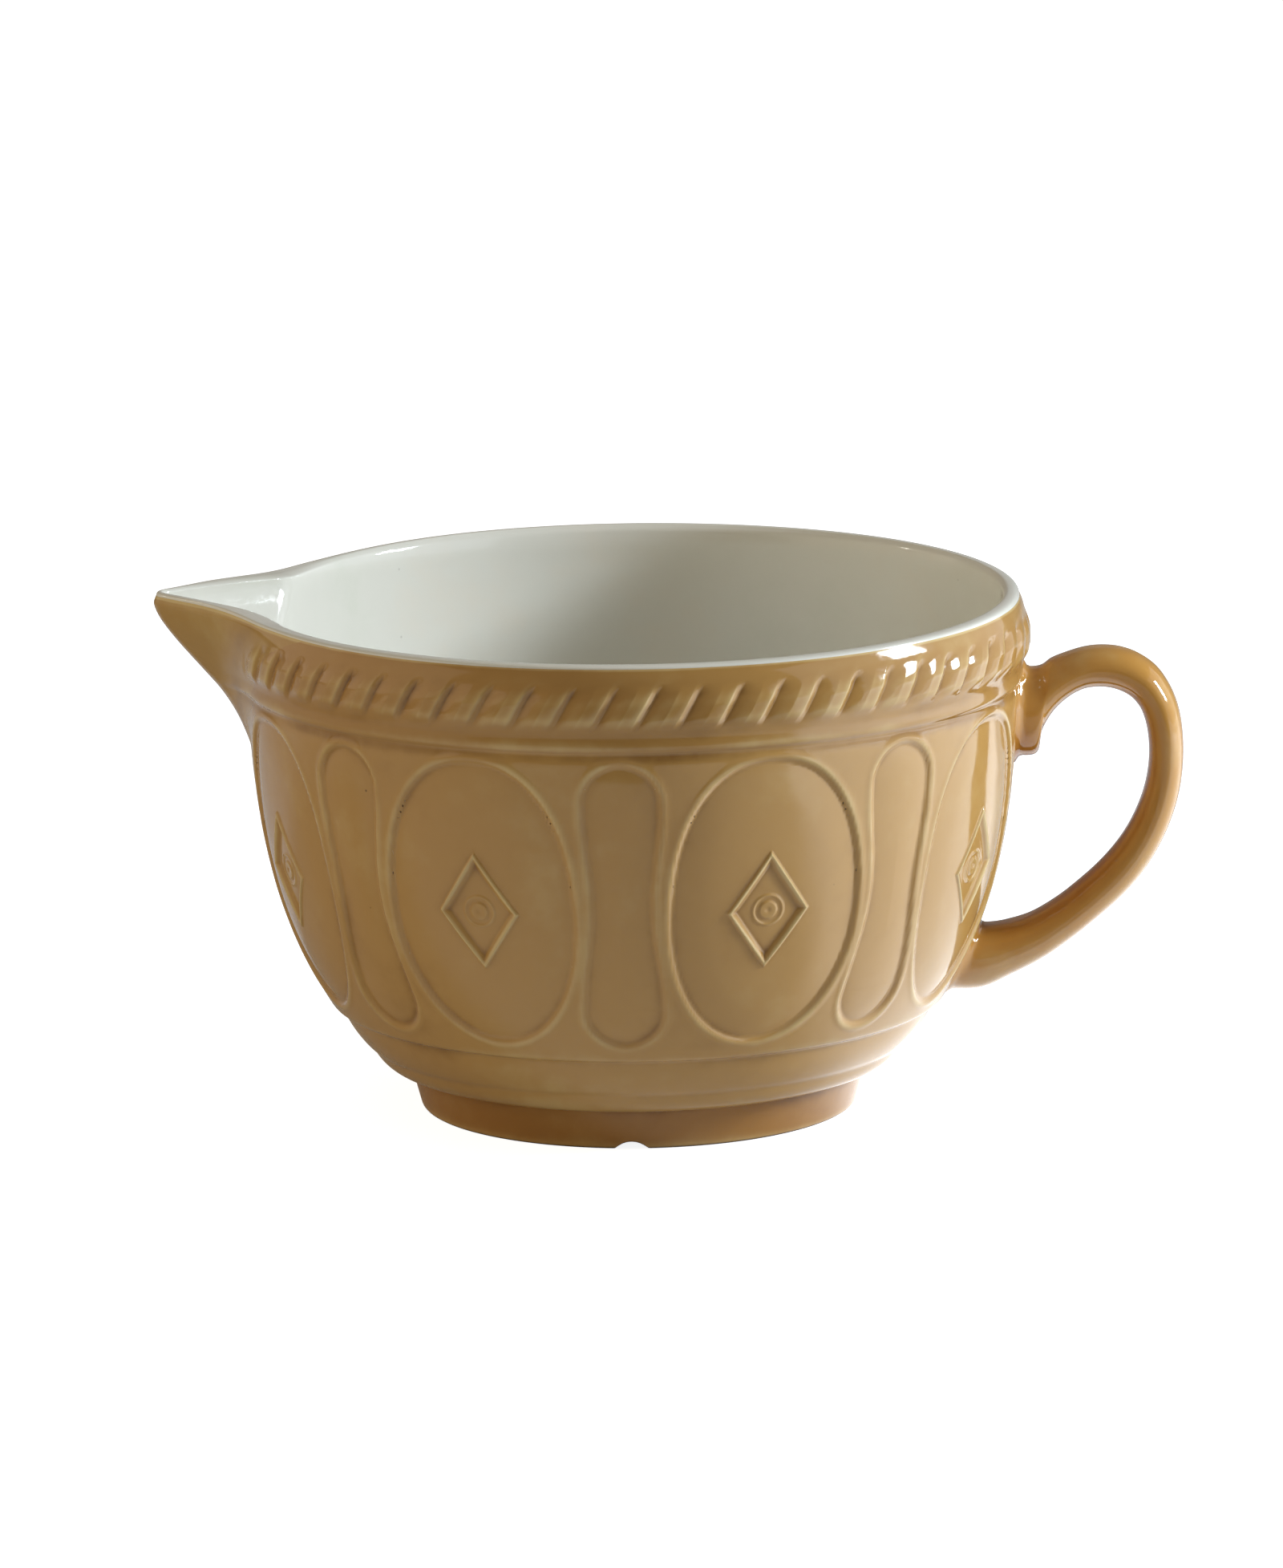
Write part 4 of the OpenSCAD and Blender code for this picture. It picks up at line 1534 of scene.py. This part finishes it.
@dataclass
class Handle:
    """The loop handle: a strap that leaves the wall under the collar and comes back low on the wall."""

    shop: Workshop
    out: float = 46.4
    height: float = 103.0
    foot_z: float = 29.3
    grip_w: float = 20.0
    root_w: float = 25.0
    root_sink: float = 3.0
    soft_power: float = 0.85
    fillet: float = 2.4
    drift: float = 0.25
    pool_level: float = 0.44
    pool_root: float = 0.08
    pool_root_reach: float = 5.0
    # Painted shade: how much deeper the colour is on the inner side, which faces the wall.
    inner_side_shade: float = 0.3
    pool_corner: float = 0.06
    rings: int = 230
    sides: int = 72
    outer_shares: tuple = (
        (0.10, 0.943), (0.19, 0.966), (0.29, 0.983), (0.395, 0.996), (0.50, 1.0), (0.61, 0.995),
        (0.72, 0.977), (0.83, 0.942), (0.91, 0.893), (0.965, 0.835), (0.993, 0.770), (1.0, 0.70),
        (0.99, 0.632), (0.963, 0.567), (0.915, 0.50), (0.848, 0.434), (0.757, 0.368), (0.635, 0.303),
        (0.49, 0.243), (0.325, 0.182), (0.13, 0.120), (-0.07, 0.073), (-0.27, 0.035),
    )
    inner_shares: tuple = (
        (0.085, 0.700), (0.125, 0.765), (0.19, 0.818), (0.28, 0.858), (0.38, 0.883), (0.485, 0.889),
        (0.58, 0.882), (0.665, 0.863), (0.725, 0.833), (0.760, 0.796), (0.780, 0.752), (0.787, 0.70),
        (0.777, 0.645), (0.750, 0.590), (0.705, 0.535), (0.645, 0.482), (0.565, 0.430), (0.465, 0.380),
        (0.350, 0.333), (0.215, 0.285), (0.06, 0.243), (-0.08, 0.222), (-0.20, 0.213),
    )

    def edge(self, shares: Sequence[tuple]) -> Array:
        """Works out a smooth edge of the handle.

        Args:
            shares: Places along it, as shares of the handle's reach from the neck and of its
                height.

        Returns:
            Points from inside the wall to inside the wall again, as radius and height.
        """
        form = self.shop.skin.form
        line = [(form.neck_r + self.out * x, self.foot_z + self.height * z) for x, z in shares]
        sunk = [(form.wall_r(z) - self.root_sink, z) for _, z in (line[0], line[-1])]
        knots = np.array([sunk[0]] + line + [sunk[1]])
        padded = np.vstack([2 * knots[0] - knots[1], knots, 2 * knots[-1] - knots[-2]])
        place = np.linspace(0.0, len(knots) - 1 - 1e-9, self.rings)
        base = place.astype(int)
        t = (place - base)[:, None]
        a, b, c, d = (padded[base + k] for k in range(4))
        square, cube = 2 * a - 5 * b + 4 * c - d, 3 * b - a - 3 * c + d
        return 0.5 * (2 * b + (c - a) * t + square * t**2 + cube * t**3)

    def strap(self, along: Array, across: Array) -> Array:
        """Sweeps the strap's section between its two edges.

        Args:
            along: Place of each point of the section between the edges, from -1 to 1.
            across: Its place across the strap, from -1 to 1.

        Returns:
            The points, in rings along the strap.
        """
        outer, inner = self.edge(self.outer_shares), self.edge(self.inner_shares)
        middle, arm = (outer + inner) / 2, (outer - inner) / 2
        way = np.abs(np.linspace(-1.0, 1.0, self.rings))[:, None]
        half_w = (self.grip_w + (self.root_w - self.grip_w) * way**4) / 2
        x, z = (middle[:, k : k + 1] + arm[:, k : k + 1] * along for k in (0, 1))
        return np.stack([x, half_w * across + self.drift * np.sin(4 * way + 1.0), z], axis=-1)

    def from_wall(self, points: Array) -> tuple[Array, Array]:
        """Measures how the strap lies to the wall.

        Args:
            points: Points of the strap.

        Returns:
            Each point's distance from the wall, and the wall's normal beside it.
        """
        skin = self.shop.skin
        run = skin.outer.run_of_height(points[..., 2], skin.mark["wall_foot"])
        wall_r, _ = skin.outer.at(run)
        slope_r, slope_z = skin.outer.normal_at(run)
        turn = np.arctan2(points[..., 1], points[..., 0])
        normal = about_axis(turn, slope_r, slope_z)
        return (np.hypot(points[..., 0], points[..., 1]) - wall_r) * slope_r, normal

    def build(self) -> None:
        """Builds the strap with its fillets on the wall."""
        angle = np.arange(self.sides) * TURN / self.sides
        along, across = (np.sign(f) * np.abs(f) ** self.soft_power for f in (np.cos(angle), np.sin(angle)))
        points = self.strap(along, across)
        centre = points.mean(axis=1, keepdims=True)
        normals = self.grid_normals(points, centre)
        away, wall_normal = self.from_wall(points)
        near = np.clip(self.fillet - np.maximum(away, 0.0), 0.0, None)
        flare = self.fillet - np.sqrt(self.fillet**2 - near**2)
        sideways = normals - np.sum(normals * wall_normal, axis=-1, keepdims=True) * wall_normal
        points = points + flare[..., None] * sideways
        normals = self.grid_normals(points, centre)
        corner = (np.abs(np.sin(2 * angle)) ** 3)[None, :]
        pool = self.pool_level + self.pool_root * ease(1 - away / self.pool_root_reach)
        # The inner side, which faces the wall, gets painted shade as a deeper colour; the corners get thinner
        # glaze.
        pool = pool + self.inner_side_shade * ease(-along)[None, :] - self.pool_corner * corner
        faces = grid_faces(*pool.shape, closed=True)
        first = np.cross(points[1, 0] - points[0, 0], points[0, 1] - points[0, 0])
        if np.dot(first, normals[0, 0]) > 0:
            faces = faces[:, ::-1]
        layers = {"pool": np.clip(pool, 0, 1).reshape(-1)}
        mesh = make_mesh("handle_strap", points.reshape(-1, 3), faces, normals.reshape(-1, 3), layers)
        self.shop.piece("handle_strap", mesh, "handle", "handle", ["handle"])

    @staticmethod
    def grid_normals(points: Array, centre: Array) -> Array:
        """Works out the normals of a closed tube's grid.

        Args:
            points: Points of the grid, in rings along the tube.
            centre: The middle of each ring.

        Returns:
            A unit normal for each point, away from the middle line.
        """
        along = np.gradient(points, axis=0)
        around = np.roll(points, -1, axis=1) - np.roll(points, 1, axis=1)
        normals = np.cross(around, along)
        normals /= np.maximum(np.linalg.norm(normals, axis=-1, keepdims=True), 1e-12)
        sense = np.sum(normals * (points - centre), axis=-1, keepdims=True)
        return normals * np.where(np.median(sense) < 0, -1.0, 1.0)


# Glazes


class GlazeGroup:
    """A shader node group: the colour, gloss and surface of a glaze from how thick it lies, a value that also
    carries painted shade.
    """

    DRIFT_SCALE, MOTTLE_SCALE, GRAIN_SCALE, RIPPLE_SCALE = 26.0, 150.0, 620.0, 75.0
    THIN_END, DEEP_END = 0.08, 0.95
    SPECK_SCALE, SPECK_R, SPECK_CORE = 85.0, 0.045, 0.02
    SPECK_CHANCE, SPECK_SURE = 0.74, 0.78
    SPECK_COLOUR = (0.035, 0.02, 0.012, 1.0)
    GRAIN_ROUGHNESS = 0.05
    RIPPLE_H, GRAIN_H, SPECK_H = 0.55, 0.035, 0.08

    def __init__(self) -> None:
        """Builds the group."""
        tree = bpy.data.node_groups.new("glaze_on_clay", "ShaderNodeTree")
        face = tree.interface
        for name, kind, value in (
            ("Pool", "NodeSocketFloat", 0.5),
            ("Thin Colour", "NodeSocketColor", (0.6, 0.45, 0.25, 1.0)),
            ("Usual Colour", "NodeSocketColor", (0.45, 0.3, 0.12, 1.0)),
            ("Deep Colour", "NodeSocketColor", (0.2, 0.1, 0.03, 1.0)),
            ("Drift", "NodeSocketFloat", 0.1),
            ("Mottle", "NodeSocketFloat", 0.1),
            ("Specks", "NodeSocketFloat", 0.5),
            ("Roughness", "NodeSocketFloat", 0.12),
        ):
            face.new_socket(name, in_out="INPUT", socket_type=kind).default_value = value
        for name, kind in (("Colour", "Color"), ("Roughness", "Float"), ("Height", "Float")):
            face.new_socket(name, in_out="OUTPUT", socket_type="NodeSocket" + kind)
        self.tree = tree
        given, result = tree.nodes.new("NodeGroupInput"), tree.nodes.new("NodeGroupOutput")
        link = tree.links.new
        place = tree.nodes.new("ShaderNodeTexCoord").outputs["Object"]
        drift = self.noise(place, self.DRIFT_SCALE, 2.0)
        mottle = self.noise(place, self.MOTTLE_SCALE, 3.0)
        grain = self.noise(place, self.GRAIN_SCALE, 2.0)
        ripple = self.noise(place, self.RIPPLE_SCALE, 1.0)
        level = self.math("MULTIPLY_ADD", self.centred(drift), given.outputs["Drift"], given.outputs["Pool"])
        level = self.math("MULTIPLY_ADD", self.centred(mottle), given.outputs["Mottle"], level)
        thin = self.band(level, 0.5, self.THIN_END)
        deep = self.band(level, 0.5, self.DEEP_END)
        colour = self.mix(thin, given.outputs["Usual Colour"], given.outputs["Thin Colour"])
        colour = self.mix(deep, colour, given.outputs["Deep Colour"])
        cells = tree.nodes.new("ShaderNodeTexVoronoi")
        cells.inputs["Scale"].default_value = self.SPECK_SCALE
        link(place, cells.inputs["Vector"])
        chance = tree.nodes.new("ShaderNodeSeparateColor")
        link(cells.outputs["Color"], chance.inputs[0])
        dot = self.band(cells.outputs["Distance"], self.SPECK_R, self.SPECK_CORE)
        chosen = self.band(chance.outputs[0], self.SPECK_CHANCE, self.SPECK_SURE)
        speck = self.math("MULTIPLY", self.math("MULTIPLY", dot, chosen), given.outputs["Specks"])
        colour = self.mix(speck, colour, self.SPECK_COLOUR)
        link(colour, result.inputs["Colour"])
        sheen = given.outputs["Roughness"]
        rough = self.math("MULTIPLY_ADD", self.centred(grain), self.GRAIN_ROUGHNESS, sheen)
        link(rough, result.inputs["Roughness"])
        height = self.math("MULTIPLY_ADD", ripple, self.RIPPLE_H, drift)
        height = self.math("MULTIPLY_ADD", grain, self.GRAIN_H, height)
        height = self.math("MULTIPLY_ADD", speck, self.SPECK_H, height)
        link(height, result.inputs["Height"])

    def noise(self, place: bpy.types.NodeSocket, scale: float, detail: float) -> bpy.types.NodeSocket:
        """Adds a noise.

        Args:
            place: Socket with the place on the bowl.
            scale: Its scale, in cells per metre.
            detail: How many finer noises are added to it.

        Returns:
            The socket with its value.
        """
        node = self.tree.nodes.new("ShaderNodeTexNoise")
        node.inputs["Scale"].default_value, node.inputs["Detail"].default_value = scale, detail
        self.tree.links.new(place, node.inputs["Vector"])
        return node.outputs["Fac"]

    def math(self, kind: str, *values: object) -> bpy.types.NodeSocket:
        """Adds a Math node.

        Args:
            kind: Its operation.
            values: Sockets or numbers for its inputs.

        Returns:
            The socket with its result.
        """
        node = self.tree.nodes.new("ShaderNodeMath")
        node.operation = kind
        for socket, value in zip(node.inputs, values):
            if isinstance(value, (int, float)):
                socket.default_value = value
            else:
                self.tree.links.new(value, socket)
        return node.outputs[0]

    def centred(self, value: bpy.types.NodeSocket) -> bpy.types.NodeSocket:
        """Returns a noise moved and stretched to lie about between -1 and 1."""
        return self.math("MULTIPLY_ADD", value, 4.0, -2.0)

    def band(self, value: bpy.types.NodeSocket, start: float, end: float) -> bpy.types.NodeSocket:
        """Adds a smooth step.

        Args:
            value: Socket with the value that the step follows.
            start: Value where the step is 0.
            end: Value where it is 1.

        Returns:
            The socket with the step.
        """
        node = self.tree.nodes.new("ShaderNodeMapRange")
        node.interpolation_type = "SMOOTHSTEP"
        low, high = min(start, end), max(start, end)
        node.inputs["From Min"].default_value, node.inputs["From Max"].default_value = low, high
        if end < start:
            node.inputs["To Min"].default_value, node.inputs["To Max"].default_value = 1.0, 0.0
        self.tree.links.new(value, node.inputs["Value"])
        return node.outputs[0]

    def mix(self, share: bpy.types.NodeSocket, first: object, second: object) -> bpy.types.NodeSocket:
        """Adds a mix of two colours.

        Args:
            share: Socket with the share of the second colour.
            first: Socket or colour.
            second: Socket or colour.

        Returns:
            The socket with the mixed colour.
        """
        node = self.tree.nodes.new("ShaderNodeMix")
        node.data_type = "RGBA"
        self.tree.links.new(share, node.inputs[0])
        for socket, value in ((node.inputs[6], first), (node.inputs[7], second)):
            if isinstance(value, tuple):
                socket.default_value = value
            else:
                self.tree.links.new(value, socket)
        return node.outputs[2]


@dataclass(frozen=True)
class Glaze:
    """A finish: one of the two glazes as it lies on one part of the bowl."""

    name: str
    kind: GlazeKind
    thin: tuple
    usual: tuple
    deep: tuple
    drift: float = 0.12
    mottle: float = 0.05
    specks: float = 0.6
    roughness: float = 0.085
    relief: float = 0.12
    relief_h: float = 0.0012
    ior: float = 1.52
    # Colour of the unglazed clay where a piece has it; on the foot it is near black and also paints shadow.
    clay_and_shadow_colour: Optional[tuple] = None
    clay_roughness: float = 0.85

    def material(self, group: GlazeGroup) -> bpy.types.Material:
        """Makes the material.

        Args:
            group: The node group that every glaze shares.

        Returns:
            The material, with the near-black clay colour, partly painted shadow, where a mesh marks the clay
            as unglazed.
        """
        made = bpy.data.materials.new(self.name)
        made.use_nodes = True
        tree = made.node_tree
        tree.nodes.clear()
        link = tree.links.new
        out, shader = tree.nodes.new("ShaderNodeOutputMaterial"), tree.nodes.new("ShaderNodeBsdfPrincipled")
        glaze = tree.nodes.new("ShaderNodeGroup")
        glaze.node_tree = group.tree
        for name in ("thin", "usual", "deep"):
            glaze.inputs[f"{name.title()} Colour"].default_value = (*getattr(self, name), 1.0)
        for name in ("drift", "mottle", "specks", "roughness"):
            glaze.inputs[name.title()].default_value = getattr(self, name)
        if self.kind is GlazeKind.CANE:
            link(self.layer(tree, "pool"), glaze.inputs["Pool"])
        bump = tree.nodes.new("ShaderNodeBump")
        bump.inputs["Strength"].default_value = self.relief
        bump.inputs["Distance"].default_value = self.relief_h
        link(glaze.outputs["Height"], bump.inputs["Height"])
        link(bump.outputs["Normal"], shader.inputs["Normal"])
        colour, rough = glaze.outputs["Colour"], glaze.outputs["Roughness"]
        # Where the clay is unglazed, its near-black colour is mixed in, which also paints the shadow under
        # the notch's arch and along the resting edge.
        if self.clay_and_shadow_colour is not None:
            bare_and_shadowed = self.layer(tree, "bare_and_shadowed")
            clay, matt = tree.nodes.new("ShaderNodeMix"), tree.nodes.new("ShaderNodeMix")
            clay.data_type, matt.data_type = "RGBA", "FLOAT"
            link(bare_and_shadowed, clay.inputs[0])
            link(bare_and_shadowed, matt.inputs[0])
            link(colour, clay.inputs[6])
            clay.inputs[7].default_value = (*self.clay_and_shadow_colour, 1.0)
            link(rough, matt.inputs[2])
            matt.inputs[3].default_value = self.clay_roughness
            colour, rough = clay.outputs[2], matt.outputs[0]
        link(colour, shader.inputs["Base Color"])
        link(rough, shader.inputs["Roughness"])
        shader.inputs["IOR"].default_value = self.ior
        link(shader.outputs[0], out.inputs[0])
        return made

    @staticmethod
    def layer(tree: bpy.types.NodeTree, name: str) -> bpy.types.NodeSocket:
        """Adds a node that reads a value of the mesh's points.

        Args:
            tree: Node tree of the material.
            name: Name of the value.

        Returns:
            The socket with the value.
        """
        node = tree.nodes.new("ShaderNodeAttribute")
        node.attribute_name = name
        return node.outputs["Fac"]


class Finish(Enum):
    """The finishes of the bowl, each with its colour where it lies thin, as usual and deep."""

    CANE = Glaze("cane_glaze", GlazeKind.CANE, (0.62, 0.46, 0.20), (0.48, 0.282, 0.088), (0.21, 0.092, 0.016))
    COLLAR = Glaze(
        "collar_cane_glaze", GlazeKind.CANE,
        (0.62, 0.46, 0.20), (0.42, 0.235, 0.068), (0.18, 0.08, 0.013), drift=0.16,
    )
    SPOUT = Glaze(
        "spout_cane_glaze", GlazeKind.CANE,
        (0.62, 0.47, 0.20), (0.44, 0.265, 0.070), (0.21, 0.10, 0.014), drift=0.16,
    )
    HANDLE = Glaze(
        "handle_cane_glaze", GlazeKind.CANE,
        (0.66, 0.48, 0.20), (0.52, 0.265, 0.060), (0.38, 0.13, 0.013), drift=0.16,
    )
    # The foot's unglazed clay colour is near black: partly the clay itself, partly painted shadow under the
    # notch's arch and along the resting edge.
    FOOT = Glaze(
        "foot_cane_glaze", GlazeKind.CANE,
        (0.56, 0.36, 0.13), (0.38, 0.185, 0.044), (0.15, 0.06, 0.01), clay_and_shadow_colour=(0.06, 0.035, 0.02),
    )
    WHITE = Glaze(
        "white_lining_glaze", GlazeKind.WHITE,
        (0.78, 0.755, 0.67), (0.76, 0.765, 0.70), (0.71, 0.73, 0.65), drift=0.25, mottle=0.1, specks=0.2,
    )


# The studio


@dataclass(frozen=True)
class Studio:
    """The camera, the lamps and the stage that the bowl stands on."""

    around: float = math.radians(2.2)
    above: float = math.radians(11.577)
    roll: float = math.radians(0.78)
    distance: float = 2.750
    shift_right: float = 0.000535
    shift_up: float = 0.0908
    lens: float = 218.0
    sensor: float = 36.0
    bowl_middle: float = 0.075
    room_colour: tuple = (1.0, 0.84, 0.66, 1.0)
    room_light: float = 0.22
    card_colour: tuple = (0.02, 0.017, 0.014, 1.0)
    card_roughness: float = 0.9

    def camera(self) -> None:
        """Makes the camera of the photograph."""
        a, e, r = self.around, self.above, self.roll
        ahead = np.array([-math.sin(a) * math.cos(e), math.cos(a) * math.cos(e), -math.sin(e)])
        level = np.array([math.cos(a), math.sin(a), 0.0])
        upright = np.cross(level, ahead)
        right = math.cos(r) * level - math.sin(r) * upright
        up = math.sin(r) * level + math.cos(r) * upright
        place = -self.distance * ahead + self.shift_right * right + self.shift_up * up
        data = bpy.data.cameras.new("photo_camera")
        data.sensor_fit, data.sensor_height, data.lens = "VERTICAL", self.sensor, self.lens
        holder = bpy.data.objects.new("photo_camera", data)
        holder.matrix_world = frame_of(right, up, -ahead, place)
        bpy.context.scene.collection.objects.link(holder)
        bpy.context.scene.camera = holder

    def lamp(
        self, name: str, around: float, above: float, away: float, size: tuple, power: float, colour: tuple
    ) -> bpy.types.Object:
        """Makes a soft box that faces the bowl.

        Args:
            name: Name of the lamp.
            around: Degrees to the right of the camera's side.
            above: Degrees above the table.
            away: Distance from the bowl in metres.
            size: Width and height in metres.
            power: Power in watts.
            colour: Colour of the light.

        Returns:
            The lamp.
        """
        data = bpy.data.lights.new(name, "AREA")
        data.shape, data.size, data.size_y = "RECTANGLE", size[0], size[1]
        data.energy, data.color = power, colour
        a, e = math.radians(around - 90.0), math.radians(above)
        back = np.array([math.cos(a) * math.cos(e), math.sin(a) * math.cos(e), math.sin(e)])
        side = np.array([-math.sin(a), math.cos(a), 0.0])
        up = np.cross(back, side)
        place = back * away + np.array([0.0, 0.0, self.bowl_middle])
        holder = bpy.data.objects.new(name, data)
        holder.matrix_world = frame_of(side, up, back, place)
        bpy.context.scene.collection.objects.link(holder)
        return holder

    @staticmethod
    def stage_paint(name: str, colour: tuple, shown: float, mirrored: tuple) -> bpy.types.Material:
        """Makes a matt pale paint that the camera and the glaze see brighter than the lamps make it.

        Args:
            name: Name of the material.
            colour: Colour of the paint.
            shown: Brightness that the camera sees on top.
            mirrored: Brightness that the glaze mirrors on top, elsewhere and to the right of the bowl.

        Returns:
            The material.
        """
        made = bpy.data.materials.new(name)
        made.use_nodes = True
        tree = made.node_tree
        tree.nodes.clear()
        link = tree.links.new
        out, both = tree.nodes.new("ShaderNodeOutputMaterial"), tree.nodes.new("ShaderNodeAddShader")
        matt, glow = tree.nodes.new("ShaderNodeBsdfDiffuse"), tree.nodes.new("ShaderNodeEmission")
        path, place = tree.nodes.new("ShaderNodeLightPath"), tree.nodes.new("ShaderNodeTexCoord")
        parts, across = tree.nodes.new("ShaderNodeSeparateXYZ"), tree.nodes.new("ShaderNodeMapRange")
        sharp, level, aside, depth = (tree.nodes.new("ShaderNodeMath") for _ in range(4))
        matt.inputs["Color"].default_value = (*colour, 1.0)
        glow.inputs["Color"].default_value = (1.0, 1.0, 1.0, 1.0)
        across.interpolation_type = "SMOOTHSTEP"
        for socket, value in zip(("From Min", "From Max", "To Min", "To Max"), (-0.02, 0.06, *mirrored)):
            across.inputs[socket].default_value = value
        sharp.operation, level.operation = "MULTIPLY", "MULTIPLY_ADD"
        link(place.outputs["Object"], parts.inputs[0])
        depth.operation, aside.operation = "ABSOLUTE", "SUBTRACT"
        link(parts.outputs["Y"], depth.inputs[0])
        link(parts.outputs["X"], aside.inputs[0])
        link(depth.outputs[0], aside.inputs[1])
        link(aside.outputs[0], across.inputs["Value"])
        link(path.outputs["Is Glossy Ray"], sharp.inputs[0])
        link(across.outputs[0], sharp.inputs[1])
        link(path.outputs["Is Camera Ray"], level.inputs[0])
        level.inputs[1].default_value = shown
        link(sharp.outputs[0], level.inputs[2])
        link(level.outputs[0], glow.inputs["Strength"])
        link(matt.outputs[0], both.inputs[0])
        link(glow.outputs[0], both.inputs[1])
        link(both.outputs[0], out.inputs[0])
        return made

    def sheet(self, name: str, corners: Sequence[tuple], paint: bpy.types.Material) -> bpy.types.Object:
        """Makes a flat sheet of the stage.

        Args:
            name: Name of the sheet.
            corners: Its four corners, in metres.
            paint: Its material.

        Returns:
            The sheet.
        """
        mesh = bpy.data.meshes.new(name)
        mesh.from_pydata(corners, [], [(0, 1, 2, 3)])
        mesh.materials.append(paint)
        holder = bpy.data.objects.new(name, mesh)
        bpy.context.scene.collection.objects.link(holder)
        return holder

    def dark_card(self) -> None:
        """Lays a dark card before the bowl, which only the glaze mirrors, as the dark of the room."""
        paint = bpy.data.materials.new("dark_card")
        paint.use_nodes = True
        shader = paint.node_tree.nodes["Principled BSDF"]
        shader.inputs["Base Color"].default_value = self.card_colour
        shader.inputs["Roughness"].default_value = self.card_roughness
        left, right, front, back, z = -1.3, 0.8, -3.2, -0.66, 0.002
        corners = [(left, front, z), (right, front, z), (right, back, z), (left, back, z)]
        card = self.sheet("dark_card", corners, paint)
        card.visible_camera = card.visible_diffuse = card.visible_shadow = False

    def build(self) -> None:
        """Builds the camera, the lamps, the world and the stage."""
        self.camera()
        self.lamp("window_pane_1", 84.9, 22.0, 1.6, (0.16, 0.42), 12.5, (0.92, 1.0, 1.08))
        self.lamp("window_pane_2", 91.7, 22.0, 1.6, (0.16, 0.42), 12.5, (0.92, 1.0, 1.08))
        self.lamp("left_fill", -78.0, 15.0, 2.0, (1.6, 1.0), 10.5, (1.0, 0.81, 0.54)).visible_glossy = False
        self.lamp("left_lamp", -102.0, 26.0, 2.4, (0.14, 0.14), 1.2, (1.0, 0.95, 0.85))
        self.lamp("ceiling", 0.0, 80.0, 2.2, (1.8, 1.8), 3.5, (0.98, 1.0, 1.02)).visible_glossy = False
        self.lamp("right_room", 94.0, 14.0, 2.2, (4.4, 2.0), 24.0, (0.93, 0.97, 1.08)).visible_diffuse = False
        self.lamp("left_room", -88.0, 18.0, 2.0, (3.0, 1.2), 6.0, (1.0, 0.86, 0.74)).visible_diffuse = False
        world = bpy.data.worlds.new("room")
        world.use_nodes = True
        ground = world.node_tree.nodes["Background"]
        ground.inputs["Color"].default_value = self.room_colour
        ground.inputs["Strength"].default_value = self.room_light
        bpy.context.scene.world = world
        floor = self.stage_paint("pale_floor", (0.80, 0.83, 0.88), 0.88, (0.0, 1.35))
        self.sheet("floor", [(-6, -6, 0), (6, -6, 0), (6, 6, 0), (-6, 6, 0)], floor)
        wall = self.stage_paint("pale_backdrop", (0.86, 0.86, 0.85), 1.0, (0.0, 0.0))
        self.sheet("backdrop", [(-0.6, 3.4, 0), (0.6, 3.4, 0), (0.6, 3.4, 1.6), (-0.6, 3.4, 1.6)], wall)
        self.dark_card()
        bpy.context.scene.view_settings.view_transform = "Standard"


def main() -> None:
    """Builds the bowl and its studio."""
    logging.basicConfig(level=logging.INFO, format="%(name)s: %(message)s")
    skin = Skin(BowlForm(), PanelForm(), RopeForm(), SpoutForm(), LipForm())
    group = GlazeGroup()
    finishes = {finish.name.lower(): finish.value.material(group) for finish in Finish}
    shop = Workshop(skin, SectorRing(), finishes)
    for part in (Foot(shop), Wall(shop), Collar(shop), SpoutAndLining(shop), Handle(shop)):
        log.info("building the %s", type(part).__name__)
        part.build()
    Studio().build()


if __name__ == "__main__":
    main()
